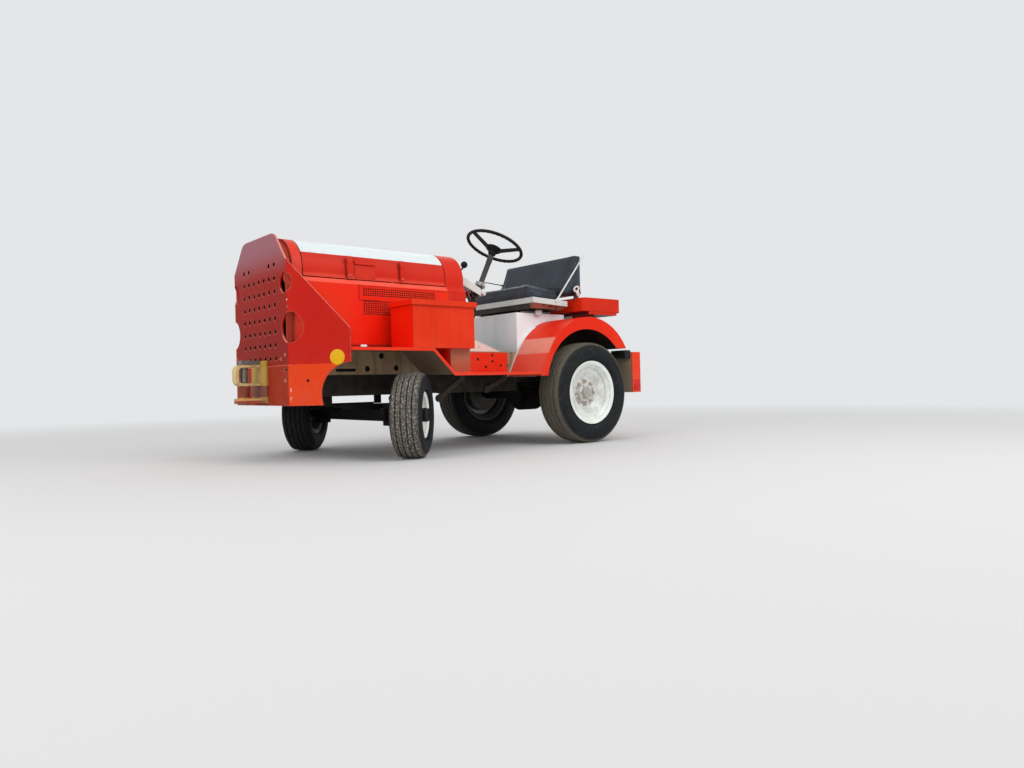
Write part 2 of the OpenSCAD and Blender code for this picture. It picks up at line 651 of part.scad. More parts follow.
// section of a pressed steel wheel, radius along X: rim with a well, and a dished disc whose
// bolting face is at face_y; lip, shelf and well step inwards from the outer edge
module rim_section(r_lip, half_w, well, face_y, bolt_r, hub_r) {
    r_seat = r_lip - 18.3;
    r_well = r_seat - well;
    t = 6;
    rim = [[r_seat - t, half_w - 18], [r_seat - t, half_w - 9], [r_lip - t, half_w], [r_lip, half_w], [r_lip, half_w - 4],
        [r_seat, half_w - 11], [r_seat, half_w - 20], [r_well + t, half_w - 34]];
    polygon(concat([[r_well, half_w - 36]], rim, [for (i = [len(rim) - 1:-1:0]) [rim[i][0], -rim[i][1]]],
        [[r_well, -half_w + 36]]));
    polygon([[hub_r, face_y - 8], [bolt_r + 24, face_y - 8], [r_well - 26, half_w - 62], [r_well + 1, half_w - 64],
        [r_well + 1, half_w - 44], [r_well - 8, half_w - 46], [r_well - 32, half_w - 54], [bolt_r + 30, face_y + 4],
        [bolt_r + 20, face_y], [hub_r, face_y]]);
}

module wheel_place(side, front) {
    x = front ? kingpin_x : rear_track_x;
    y = front ? front_y : rear_y;
    z = front ? front_z : rear_z;
    translate([side * x, y, z]) rotate([0, 0, front ? steer_angle : 0])
        mirror([side < 0 ? 1 : 0, 0, 0]) translate([front ? front_offset : 0, 0, 0]) children();
}
rear_rim_half_w = 92;
front_rim_half_w = 76;
module rear_tyre_form() tyre(rear_tyre_d, rear_rim_d, rear_rim_half_w, rear_tyre_w, 168);
module front_tyre_form() tyre(front_tyre_d, front_rim_d, front_rim_half_w, front_tyre_w, 150);
module tyre_front_left() color("dimgray") wheel_place(1, true) front_tyre_form();
module tyre_front_right() color("dimgray") wheel_place(-1, true) front_tyre_form();
module tyre_rear_left() color("dimgray") wheel_place(1, false) rear_tyre_form();
module tyre_rear_right() color("dimgray") wheel_place(-1, false) rear_tyre_form();

// n wheel bolts on a circle of diameter d
module wheel_bolts(n, d, x, r, h) for (i = [0:n - 1]) rotate([i * 360 / n, 0, 0]) translate([x, 0, d / 2])
    rotate([0, 90, 0]) cylinder(r = r, h = h, $fn = 6);
module rear_rim_form() {
    rotate([0, 90, 0]) rotate_extrude()
        rim_section(rear_rim_d / 2, rear_rim_half_w, 28, 12, 82.5, rear_spindle_r + run_gap);
    difference() {
        union() {
            pin_x(3, 26, 0, 0, 64);
            pin_x(25, 52, 0, 0, 38);
            pin_x(-70, 5, 0, 0, 140);
        }
        pin_x(-71, 34, 0, 0, rear_spindle_r + run_gap);
    }
    wheel_bolts(8, 165.1, 10, 11, 20);
}
module front_rim_form() {
    rotate([0, 90, 0]) rotate_extrude()
        rim_section(front_rim_d / 2, front_rim_half_w, 14, 22, 57, spindle_r + run_gap);
    difference() {
        rotate([0, 90, 0]) cylinder(r = 40, h = 98);
        pin_x(-8, 91, 0, 0, spindle_r + run_gap);
    }
    wheel_bolts(5, 114, 20, 9, 16);
}
module rim_front_left() color("white") wheel_place(1, true) front_rim_form();
module rim_front_right() color("white") wheel_place(-1, true) front_rim_form();
module rim_rear_left() color("white") wheel_place(1, false) rear_rim_form();
module rim_rear_right() color("white") wheel_place(-1, false) rear_rim_form();

// a bent bar loop over a tapered plate, with a sleeve between them, on a back plate
module front_hitch() color("gold") difference() {
    union() {
        along_x(-32, 32) difference() {
            polygon(rounded([[guard_y - 1, 453, 0], [guard_y - 1, 577, 0], [nose_y, 577, 40], [nose_y, 453, 40]]));
            polygon(rounded([[guard_y, 469, 0], [guard_y, 561, 0], [nose_y + 16, 561, 28], [nose_y + 16, 469, 28]]));
        }
        translate([0, 0, 350]) linear_extrude(29) polygon(rounded(mirrored([[110, guard_y - 1, 0], [52, nose_y + 8, 30]])));
        translate([0, hitch_pin_y, 378]) cylinder(r = 32, h = 76);
        block([-110, guard_y - 12, 350], [110, guard_y - seat_gap, 600]);
    }
    translate([0, hitch_pin_y, 340]) cylinder(r = hitch_pin_r + seat_gap, h = 300);
    block([-200, guard_y - seat_gap, 300], [200, guard_y + 40, 620]);
}
module front_hitch_pin() color("gray") {
    translate([0, hitch_pin_y, 343]) cylinder(r = hitch_pin_r, h = 240);
    block([-24, hitch_pin_y - 24, 577 + seat_gap], [24, guard_y - 12 - seat_gap, 603]);
}
module rear_hitch() color("black") {
    hole_y = overall_l / 2 - 45;
    for (z = [365, 506]) difference() {
        block([-65, bumper_y1 + seat_gap, z], [65, overall_l / 2, z + 14]);
        translate([0, hole_y, z - 1]) cylinder(r = 16.2, h = 16);
    }
    block([-65, bumper_y1 + seat_gap, 365], [65, bumper_y1 + 12, 520]);
}

main_frame();
front_guard();
front_cowl();
hood_cover();
engine_side_left();
engine_side_right();
rear_cowl();
step_left();
step_right();
toolbox();
toolbox_lid();
dash_panel();
toe_board();
steering_column();
steering_wheel();
controls();
seat_box();
seat_pan();
seat_cushion();
seat_back();
seat_stays();
rear_deck();
rear_fender_left();
rear_fender_right();
rear_bumper();
engine();
radiator();
front_axle();
knuckle_left();
knuckle_right();
tie_rod();
leaf_springs();
rear_axle();
tyre_front_left();
tyre_front_right();
tyre_rear_left();
tyre_rear_right();
rim_front_left();
rim_front_right();
rim_rear_left();
rim_rear_right();
front_hitch();
front_hitch_pin();
rear_hitch();
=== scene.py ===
import math

import bmesh
import bpy
from mathutils import Matrix, Vector, noise as wobble
from mathutils.bvhtree import BVHTree


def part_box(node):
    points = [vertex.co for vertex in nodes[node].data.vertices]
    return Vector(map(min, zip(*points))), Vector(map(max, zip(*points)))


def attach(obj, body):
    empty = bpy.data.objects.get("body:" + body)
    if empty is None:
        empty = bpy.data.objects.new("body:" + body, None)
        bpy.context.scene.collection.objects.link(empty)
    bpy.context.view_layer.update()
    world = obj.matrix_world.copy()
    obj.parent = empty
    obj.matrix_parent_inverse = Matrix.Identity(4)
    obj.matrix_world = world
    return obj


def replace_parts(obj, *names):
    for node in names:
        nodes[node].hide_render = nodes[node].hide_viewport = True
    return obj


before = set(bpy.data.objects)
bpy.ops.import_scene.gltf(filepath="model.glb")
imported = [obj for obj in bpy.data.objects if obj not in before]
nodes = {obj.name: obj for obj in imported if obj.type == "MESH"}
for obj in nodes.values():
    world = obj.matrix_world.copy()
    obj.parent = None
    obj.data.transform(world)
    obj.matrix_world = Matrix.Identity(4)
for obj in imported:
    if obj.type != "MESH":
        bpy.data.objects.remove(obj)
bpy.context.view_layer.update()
print("baggage tug: frame loaded,", len(nodes), "nodes")

# places that several pieces share, in metres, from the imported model
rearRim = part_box("rim_rear_left")
rearAxleY = rearRim[0].y / 2 + rearRim[1].y / 2
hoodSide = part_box("hood_cover")[1].x - 0.015
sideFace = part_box("engine_side_left")[1].x
guardFold = Vector((0.386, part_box("front_guard")[0].y, 0.0))
wingTurn = math.radians(40)
steerTurn = math.radians(45)
bothSides = (1, -1)


class Wiring:
    # a node tree, with short names for the nodes that all finishes share
    def __init__(self, tree):
        self.tree = tree

    def put(self, socket, value):
        if isinstance(value, bpy.types.NodeSocket):
            self.tree.links.new(value, socket)
        elif socket.type == "RGBA":
            socket.default_value = (*value, 1.0)
        else:
            socket.default_value = value

    def node(self, kind, *values, **settings):
        made = self.tree.nodes.new("ShaderNode" + kind)
        for key, value in settings.items():
            setattr(made, key, value)
        for socket, value in zip(made.inputs, values):
            self.put(socket, value)
        return made

    def calc(self, operation, *values, clamp=False):
        return self.node("Math", *values, operation=operation, use_clamp=clamp).outputs[0]

    def times(self, product, *others):
        for other in others:
            product = self.calc("MULTIPLY", product, other)
        return product

    def plus(self, first, second, clamp=False):
        return self.calc("ADD", first, second, clamp=clamp)

    def fade(self, value, start, end, low=0.0, high=1.0):
        return self.node("MapRange", value, start, end, low, high, interpolation_type="SMOOTHSTEP").outputs[0]

    def vector(self, operation, first, second=(0, 0, 0)):
        made = self.node("VectorMath", first, second, operation=operation)
        return made.outputs["Value" if operation in ("LENGTH", "DOT_PRODUCT") else "Vector"]

    def noise(self, scale, detail=4.0, rough=0.55, stretch=None):
        where = self.spot
        if stretch:
            mapping = self.node("Mapping", where)
            mapping.inputs["Scale"].default_value = stretch
            where = mapping.outputs[0]
        made = self.node("TexNoise", where)
        for key, value in (("Scale", scale), ("Detail", detail), ("Roughness", rough)):
            made.inputs[key].default_value = value
        return made.outputs[0]

    def blend(self, factor, first, second):
        made = self.node("Mix", factor, data_type="RGBA")
        self.put(made.inputs[6], first)
        self.put(made.inputs[7], second)
        return made.outputs[2]

    def over(self, color, *factors):
        # one more coat of colour, as thick as its factors say
        self.color = self.blend(self.times(*factors), self.color, color)

    def readSurface(self):
        point = self.node("TexCoord").outputs
        place = self.node("SeparateXYZ", point["Object"]).outputs
        facing = self.node("SeparateXYZ", point["Normal"]).outputs
        self.spot = point["Object"]
        self.axes = {"x": place[0], "y": place[1], "z": place[2], "side": self.calc("ABSOLUTE", place[0]),
                     "ahead": self.calc("MULTIPLY", facing[1], -1.0), "flat": self.calc("ABSOLUTE", facing[1]),
                     "up": facing[2]}

    def zoneMask(self, zone):
        soft = zone.get("soft", 0.0015)
        parts = []
        for key, value in self.axes.items():
            if key in zone:
                low, high = zone[key]
                parts.append(self.times(self.fade(value, low - soft, low + soft),
                                        self.fade(value, high + soft, high - soft)))
        return self.times(*parts)

    def bevelEdge(self, radius):
        bevel = self.node("Bevel", radius, samples=4).outputs[0]
        same = self.vector("DOT_PRODUCT", bevel, self.node("NewGeometry").outputs["Normal"])
        return self.fade(same, 0.985, 0.85), bevel

    def wireUp(self, rough, height, strength, distance, normal=None):
        # the last wires: colour, roughness and relief
        bump = self.node("Bump")
        for key, value in (("Strength", strength), ("Distance", distance), ("Height", height)):
            self.put(bump.inputs[key], value)
        if normal is not None:
            self.put(bump.inputs["Normal"], normal)
        for key, value in (("Base Color", self.color), ("Roughness", rough), ("Normal", bump.outputs[0])):
            self.put(self.shader.inputs[key], value)
        return self.material


def startFinish(name, rough=0.5, metal=0.0, specular=0.5):
    material = bpy.data.materials.new(name)
    material.use_nodes = True
    finish = Wiring(material.node_tree)
    finish.material = material
    finish.shader = material.node_tree.nodes["Principled BSDF"]
    for key, value in (("Roughness", rough), ("Metallic", metal), ("Specular IOR Level", specular)):
        finish.shader.inputs[key].default_value = value
    finish.readSurface()
    return finish


paintFacts = {
    "color": (0.80, 0.018, 0.001), "faded": (0.84, 0.034, 0.006), "zones": (), "grime": (0.36, 0.020, 0.006),
    "streaks": 0.16, "dustColor": (0.46, 0.33, 0.22), "dustTop": 0.75, "dust": 0.16, "edgeColor": (0.95, 0.20, 0.11),
    "wear": 0.50, "edge": 0.004, "chipColor": (0.16, 0.06, 0.035), "chips": 0.6, "chipCut": 0.665, "rough": 0.40,
    "specular": 0.15, "cloudScale": 2.3, "speckleScale": 95, "runStretch": (19, 19, 1.6), "dustScale": 9,
    "chipScale": 34, "chipArea": 4.3, "dentScale": 5.5, "zonePatches": 26,
}


def paintedSteel(name, **changes):
    look = {**paintFacts, **changes}
    paint = startFinish(name, specular=look["specular"])
    cloudy = paint.noise(look["cloudScale"], 4)
    speckle = paint.noise(look["speckleScale"], 5, 0.6)
    streaky = paint.noise(1.0, 5, 0.65, stretch=look["runStretch"])
    paint.color = paint.blend(paint.fade(cloudy, 0.36, 0.64), look["color"], look["faded"])
    for area in look["zones"]:  # later zones lie over earlier ones
        mask = paint.zoneMask(area)
        if "strength" in area:
            mask = paint.times(mask, area["strength"])
        if "patchy" in area:
            mask = paint.times(mask, paint.fade(paint.noise(look["zonePatches"], 5), *area["patchy"]))
        paint.over(area["color"], mask)
    paint.over(look["grime"], paint.fade(streaky, 0.50, 0.72), look["streaks"])
    low = paint.times(paint.fade(paint.axes["z"], look["dustTop"], 0.32), look["dust"])
    dust = paint.times(low, paint.fade(paint.noise(look["dustScale"], 5, 0.65), 0.30, 0.62))
    paint.over(look["dustColor"], dust)
    # edges take the edge colour: worn paint and, where that colour is lighter than the paint, a painted highlight
    onEdge, soft = paint.bevelEdge(look["edge"])
    paint.over(look["edgeColor"], onEdge, paint.fade(speckle, 0.36, 0.56), look["wear"])
    patches = paint.fade(paint.noise(look["chipScale"], 6, 0.6), look["chipCut"], look["chipCut"] + 0.02)
    chipped = paint.times(patches, paint.fade(paint.noise(look["chipArea"], 2), 0.48, 0.60), look["chips"])
    paint.over(look["chipColor"], chipped)
    rough = paint.plus(paint.times(cloudy, 0.22), look["rough"] - 0.08)
    rough = paint.plus(rough, paint.times(paint.plus(dust, chipped), 0.35), clamp=True)
    height = paint.calc("SUBTRACT", paint.times(speckle, 0.25), paint.times(chipped, 0.8))
    height = paint.plus(height, paint.times(paint.noise(look["dentScale"], 2), 1.6))
    return paint.wireUp(rough, height, 0.30, 0.0012, soft)


steelFacts = {
    "color": (0.42, 0.41, 0.40), "dark": (0.20, 0.18, 0.16), "rust": (0.20, 0.075, 0.03), "rusty": 0.4,
    "dust": (0.40, 0.32, 0.24), "dusty": 0.2, "rough": 0.42, "metal": 0.7, "scale": 30.0, "edge": 0.0025,
}


def bareSteel(name, **changes):
    look = {**steelFacts, **changes}
    steel = startFinish(name, metal=look["metal"])
    grain = steel.noise(look["scale"] * 4, 5, 0.6)
    patches = steel.noise(look["scale"], 5, 0.6)
    steel.color = steel.blend(steel.fade(grain, 0.3, 0.7), look["dark"], look["color"])
    rust = steel.times(steel.fade(patches, 0.52, 0.66), look["rusty"])
    steel.over(look["rust"], rust)
    dust = steel.times(steel.fade(steel.axes["up"], 0.1, 0.9), look["dusty"])
    dust = steel.plus(dust, steel.times(steel.fade(patches, 0.48, 0.30), look["dusty"]), clamp=True)
    steel.over(look["dust"], dust)
    onEdge, soft = steel.bevelEdge(look["edge"])
    steel.over(look["color"], onEdge, 0.5)
    rough = steel.plus(look["rough"], steel.times(steel.plus(rust, dust), 0.4), clamp=True)
    return steel.wireUp(rough, steel.plus(grain, patches), 0.35, 0.0008, soft)


def mouldedPlastic(name, color, light, rough=0.5, grain=420.0, depth=0.0003):
    plastic = startFinish(name, specular=0.2)
    broad = plastic.noise(9, 4)
    fine = plastic.noise(grain, 2)
    plastic.color = plastic.blend(plastic.fade(broad, 0.4, 0.7), color, light)
    onEdge, soft = plastic.bevelEdge(0.0015)
    plastic.over(light, onEdge, 0.5)
    return plastic.wireUp(plastic.fade(broad, 0.2, 0.8, rough - 0.08, rough + 0.12), fine, 0.4, depth, soft)


vinylFacts = {"leather": 520, "creases": (16, 46, 46), "dust": (0.105, 0.118, 0.140), "dusty": 0.30}


def seatVinyl(name, color, light, wrinkleSpots):
    vinyl = startFinish(name, specular=0.25)
    leather = vinyl.node("TexVoronoi", vinyl.spot)
    leather.inputs["Scale"].default_value = vinylFacts["leather"]
    creases = vinyl.noise(1.0, 5, 0.6, stretch=vinylFacts["creases"])
    broad = vinyl.noise(7, 4)
    vinyl.color = vinyl.blend(vinyl.fade(broad, 0.38, 0.68), color, light)
    dusty = vinyl.times(vinyl.fade(vinyl.axes["up"], 0.35, 0.95), vinyl.fade(vinyl.noise(21, 5), 0.38, 0.66))
    vinyl.over(vinylFacts["dust"], dusty, vinylFacts["dusty"])
    height = vinyl.times(leather.outputs["Distance"], 0.4)
    for place, reach in wrinkleSpots:
        away = vinyl.vector("LENGTH", vinyl.vector("SUBTRACT", vinyl.spot, place))
        height = vinyl.plus(height, vinyl.times(creases, vinyl.fade(away, reach, reach * 0.3), 5.0))
    height = vinyl.plus(height, vinyl.times(creases, 0.7))
    return vinyl.wireUp(vinyl.fade(broad, 0.2, 0.8, 0.34, 0.52), height, 0.5, 0.0016)


# each wheel: its middle, and its outward direction
wheelPlaces = {
    "rear_left": (Vector((0.608, rearAxleY, 0.355)), Vector((1, 0, 0))),
    "rear_right": (Vector((-0.608, rearAxleY, 0.355)), Vector((-1, 0, 0))),
    "front_left": (Vector((0.5707, -0.6243, 0.256)), Vector((math.cos(steerTurn), math.sin(steerTurn), 0))),
    "front_right": (Vector((-0.5707, -0.7657, 0.256)), Vector((-math.cos(steerTurn), -math.sin(steerTurn), 0))),
}


def wheelAxes(finish, wheel):
    middle, outward = (tuple(part) for part in wheelPlaces[wheel])
    away = finish.vector("SUBTRACT", finish.spot, middle)
    radius = finish.vector("LENGTH", finish.vector("CROSS_PRODUCT", away, outward))
    return radius, finish.vector("DOT_PRODUCT", away, outward)


# the right-hand treads are darker than the left-hand ones: painted shade of the tug over them
rubberFacts = {
    "rear_left": {"tread": (0.140, 0.122, 0.092), "stone": (0.26, 0.22, 0.17), "speckle": 0.58},
    "rear_right": {"tread": (0.060, 0.052, 0.042), "stone": (0.16, 0.14, 0.11), "speckle": 0.60},
    "front_left": {"tread": (0.122, 0.110, 0.094), "stone": (0.46, 0.42, 0.36), "speckle": 0.53},
    "front_right": {"tread": (0.016, 0.015, 0.015), "stone": (0.075, 0.070, 0.064), "speckle": 0.60},
}


def wornRubber(wheel, outer, tread):
    look = rubberFacts[wheel]
    rubber = startFinish("tyreRubber_" + wheel, specular=0.25)
    radius, along = wheelAxes(rubber, wheel)
    broad = rubber.noise(13, 5, 0.6)
    grit = rubber.noise(150, 5, 0.65)
    rubber.color = rubber.blend(rubber.fade(broad, 0.35, 0.65), (0.004, 0.006, 0.008), (0.013, 0.015, 0.017))
    onTread = rubber.fade(radius, outer - 0.030, outer - 0.004)
    rubber.over(look["tread"], onTread, rubber.fade(grit, 0.25, 0.60, 0.45, 1.0))
    inGroove = rubber.times(rubber.fade(radius, outer - 0.0045, outer - 0.009),
                            rubber.fade(rubber.calc("ABSOLUTE", along), tread, tread - 0.006))
    rubber.over((0.018, 0.016, 0.014), inGroove, 0.7)
    stones = rubber.fade(rubber.noise(95, 4, 0.7), look["speckle"], look["speckle"] + 0.05)
    chips = rubber.times(stones, onTread)
    rubber.over(look["stone"], chips, 0.75)
    rubber.over((0.075, 0.066, 0.056), rubber.fade(rubber.noise(30, 5), 0.58, 0.70), 0.30)
    rings = rubber.calc("SINE", rubber.times(radius, 900.0))
    rings = rubber.times(rings, rubber.fade(radius, outer - 0.030, outer - 0.045))
    height = rubber.plus(rubber.times(rings, 0.12), rubber.times(grit, 0.7))
    return rubber.wireUp(rubber.fade(broad, 0.3, 0.7, 0.62, 0.85), rubber.calc("SUBTRACT", height, chips), 0.5, 0.0016)


rimFacts = {
    "rear": {"boltCircle": 0.0825, "hubRadius": 0.0, "hubFrom": 0.0},
    "front": {"boltCircle": 0.057, "hubRadius": 0.0445, "hubFrom": 0.035},
    "white": (0.89, 0.93, 0.90), "dull": (0.79, 0.82, 0.77), "hollow": (0.40, 0.37, 0.33), "rust": (0.26, 0.095, 0.035),
    "rubbed": (0.20, 0.15, 0.11), "chip": (0.17, 0.13, 0.11), "inside": (0.020, 0.017, 0.014),
    "hub": (0.035, 0.033, 0.032),
}


def rimPaint(wheel, boltCircle, hubRadius, hubFrom):
    paint = startFinish("rimPaint_" + wheel, specular=0.3)
    radius, along = wheelAxes(paint, wheel)
    broad = paint.noise(16, 5, 0.6)
    speckle = paint.noise(120, 5, 0.6)
    paint.color = paint.blend(paint.fade(broad, 0.35, 0.65), rimFacts["white"], rimFacts["dull"])
    # darker deeper in the dish: painted shade, with some grime
    paint.over(rimFacts["hollow"], paint.fade(along, 0.086, 0.03), paint.fade(broad, 0.35, 0.65, 0.15, 0.45))
    nearBolts = paint.fade(paint.calc("ABSOLUTE", paint.calc("SUBTRACT", radius, boltCircle)), 0.026, 0.006)
    rust = paint.times(nearBolts, paint.fade(paint.noise(48, 5, 0.6), 0.46, 0.60))
    paint.over(rimFacts["rust"], rust, 0.75)
    onEdge, soft = paint.bevelEdge(0.003)
    paint.over(rimFacts["rubbed"], onEdge, paint.fade(speckle, 0.50, 0.58), 0.8)
    chips = paint.fade(paint.noise(62, 5), 0.68, 0.70)
    paint.over(rimFacts["chip"], chips, 0.7)
    # the inner face near black: painted shade and road dirt
    paint.over(rimFacts["inside"], paint.fade(along, 0.004, -0.010), 0.93)
    if hubRadius:
        paint.over(rimFacts["hub"], paint.fade(radius, hubRadius + 0.001, hubRadius - 0.001),
                   paint.fade(along, hubFrom - 0.001, hubFrom + 0.001))
    height = paint.calc("SUBTRACT", speckle, paint.plus(chips, rust))
    return paint.wireUp(paint.fade(broad, 0.2, 0.8, 0.34, 0.60), height, 0.35, 0.0010, soft)


def finishPiece(name, bm, material, smooth=30.0, body="root"):
    bmesh.ops.remove_doubles(bm, verts=bm.verts, dist=0.00004)
    bmesh.ops.recalc_face_normals(bm, faces=bm.faces)
    mesh = bpy.data.meshes.new(name)
    bm.to_mesh(mesh)
    bm.free()
    mesh.materials.append(material)
    mesh.shade_smooth()
    mesh.set_sharp_from_angle(angle=math.radians(smooth))
    piece = bpy.data.objects.new(name, mesh)
    bpy.context.scene.collection.objects.link(piece)
    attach(piece, body)
    return piece


def turned(degrees, axis):
    return Matrix.Rotation(math.radians(degrees), 4, axis)


def newest(bm, before):
    return [v for v in bm.verts if v not in before]


def pointsOf(made):
    return [v for v in made["geom"] if isinstance(v, bmesh.types.BMVert)]


def roundEdges(bm, edges, offset, segments):
    bmesh.ops.bevel(bm, geom=list(edges), offset=offset, offset_type="OFFSET", affect="EDGES", segments=segments,
                    profile=0.5, material=-1, clamp_overlap=True)


def addBlock(bm, low, high, bevel=0.0015, segments=2, place=Matrix.Identity(4)):
    low, high = Vector(low), Vector(high)
    matrix = place @ Matrix.Translation((low + high) / 2) @ Matrix.Diagonal((*(high - low), 1.0))
    made = bmesh.ops.create_cube(bm, size=1.0, matrix=matrix)
    roundEdges(bm, {e for v in made["verts"] for e in v.link_edges}, bevel, segments)


def addPair(bm, across, along, upright, bevel, segments=2):
    # the same block on both sides of the tug, by its reach in X, Y and Z
    for side in bothSides:
        inner, outer = sorted((side * across[0], side * across[1]))
        addBlock(bm, (inner, along[0], upright[0]), (outer, along[1], upright[1]), bevel, segments)


def alongLine(start, end):
    start, end = Vector(start), Vector(end)
    turn = (end - start).to_track_quat("Z", "Y").to_matrix().to_4x4()
    return Matrix.Translation(start) @ turn, (end - start).length


def addSpun(bm, geom, steps):
    bmesh.ops.spin(bm, geom=geom, cent=(0, 0, 0), axis=(0, 0, 1), angle=math.tau, steps=steps, use_merge=True)


def addTurned(bm, profile, place, steps=48):
    before = set(bm.verts)
    ring = [bm.verts.new((radius, 0.0, along)) for radius, along in profile]
    addSpun(bm, ring + [bm.edges.new(pair) for pair in zip(ring, ring[1:])], steps)
    bmesh.ops.remove_doubles(bm, verts=newest(bm, before), dist=0.00004)
    bmesh.ops.transform(bm, matrix=place, verts=newest(bm, before))


def addRing(bm, radius, bar, lift, sides, steps):
    # a round bar, bent to a ring about Z
    made = bmesh.ops.create_circle(bm, cap_ends=False, segments=sides, radius=bar,
                                   matrix=Matrix.Translation((radius, 0, lift)) @ turned(90, "X"))
    addSpun(bm, made["verts"] + list({e for v in made["verts"] for e in v.link_edges}), steps)


def addBolt(bm, base, outward, radius, height, washer):
    place, length = alongLine(base, Vector(base) + Vector(outward))
    addTurned(bm, [(0, 0), (washer, 0), (washer, 0.0018), (washer - 0.001, 0.0025), (0, 0.0025)], place, 24)
    before = set(bm.verts)
    bmesh.ops.create_cone(bm, cap_ends=True, segments=6, radius1=radius, radius2=radius, depth=height,
                          matrix=place @ Matrix.Translation((0, 0, 0.0025 + height / 2)))
    roundEdges(bm, {e for v in newest(bm, before) for e in v.link_edges}, 0.0007, 1)


def addPipe(bm, points, radius, closed=False, rounds=3):
    curve = bpy.data.curves.new("pipePath", "CURVE")
    curve.dimensions = "3D"
    curve.bevel_depth = radius
    curve.bevel_resolution = rounds
    curve.use_fill_caps = not closed
    line = curve.splines.new("POLY")
    line.points.add(len(points) - 1)
    for target, point in zip(line.points, points):
        target.co = (*point, 1.0)
    line.use_cyclic_u = closed
    holder = bpy.data.objects.new("pipePath", curve)
    bpy.context.scene.collection.objects.link(holder)
    bpy.context.view_layer.update()
    mesh = bpy.data.meshes.new_from_object(holder.evaluated_get(bpy.context.evaluated_depsgraph_get()))
    bm.from_mesh(mesh)
    bpy.data.meshes.remove(mesh)
    bpy.data.objects.remove(holder)
    bpy.data.curves.remove(curve)


def bendThrough(points, steps=8):
    points = [Vector(p) for p in points]
    line = [points[0]] + points + [points[-1]]
    path = []
    for a, b, c, d in zip(line, line[1:], line[2:], line[3:]):
        for step in range(steps):
            t = step / steps
            path.append(0.5 * ((2 * b) + (c - a) * t + (2 * a - 5 * b + 4 * c - d) * t ** 2
                               + (3 * b - a - 3 * c + d) * t ** 3))
    return path + [points[-1]]


def coat(material, *names):
    for name in names:
        for place in nodes[name].material_slots:
            place.material = material


def zone(color, **ranges):
    return {"color": color, **ranges}


stripe = (0.735, 0.80, 0.81)
# pale pink for the guard's upper edges: painted highlight, with some wear
edgeHighlightAndWear = (0.80, 0.42, 0.38)
bareMark = (0.84, 0.50, 0.42)
# near black for painted shade in the arches
archShade = (0.022, 0.019, 0.016)
# The orange parts share one paint; each part's base colour is set lighter or darker against how that part is lit, so it
# holds painted light and shade besides fading.
stepPaint = paintedSteel("stepPaint", color=(0.84, 0.024, 0.004), zones=(
    # faces turned down are dark beige: painted shade
    zone((0.170, 0.120, 0.080), up=(-1.2, -0.25), soft=0.05),
    # the panel under the toolbox's rear half: reddish brown below and dirty beige above, painted shade of the toolbox
    # with dirt
    zone((0.46, 0.085, 0.040), side=(0.60, 0.613), z=(0.512, 0.70), y=(-0.37, -0.19)),
    zone((0.36, 0.22, 0.165), side=(0.60, 0.613), z=(0.575, 0.70), y=(-0.37, -0.19), soft=0.045, strength=0.85)))
orangePaint = paintedSteel("orangePaint", color=(0.63, 0.013, 0.001), faded=(0.68, 0.026, 0.004), zones=(
    # faces turned down near black: painted shade
    zone((0.034, 0.024, 0.019), up=(-1.2, -0.3), soft=0.05),
    # forward faces under the seat near black: painted shade
    zone((0.034, 0.020, 0.016), z=(0.60, 0.9535), ahead=(0.5, 1.2), strength=0.9)))
hoodPaint = paintedSteel("hoodPaint", color=(0.60, 0.012, 0.003), faded=(0.65, 0.026, 0.008), zones=(
    # a light pinkish band along the lower edge: painted highlight
    zone((0.90, 0.13, 0.08), z=(1.060, 1.100), strength=0.40, soft=0.010),
    # a darker band under the crease at the stripe: painted shade
    zone((0.46, 0.035, 0.018), z=(1.19, 1.219), strength=0.35, soft=0.012),
    zone(stripe, z=(1.222, 1.4), up=(-0.03, 1.3), soft=0.0012),
    zone((0.46, 0.52, 0.53), z=(1.236, 1.4), y=(-0.90, -0.58), up=(0.0, 1.3), patchy=(0.655, 0.70), strength=0.5,
         soft=0.01)), chipCut=0.675, edge=0.003)
sidePaint = paintedSteel("engineSidePaint", color=(0.89, 0.014, 0.001), faded=(0.87, 0.030, 0.005), zones=(
    # a light pinkish band along the ledge under the hood: painted highlight
    zone((0.95, 0.15, 0.10), z=(1.047, 1.08), strength=0.70, soft=0.004),
    # darker below z 0.69, under the step: painted shade
    zone((0.30, 0.02, 0.006), z=(0.0, 0.690), strength=0.7, soft=0.012)))
cowlPaint = paintedSteel("cowlPaint", color=(0.71, 0.034, 0.013), faded=(0.70, 0.055, 0.030), zones=(
    # the inset front band darker: painted shade in the recess
    zone((0.34, 0.045, 0.024), y=(-1.4, -1.252), strength=0.85, soft=0.004),
    # the rear cowl darker: painted shade
    zone((0.66, 0.016, 0.003), y=(-0.25, 0.1), strength=0.85)))
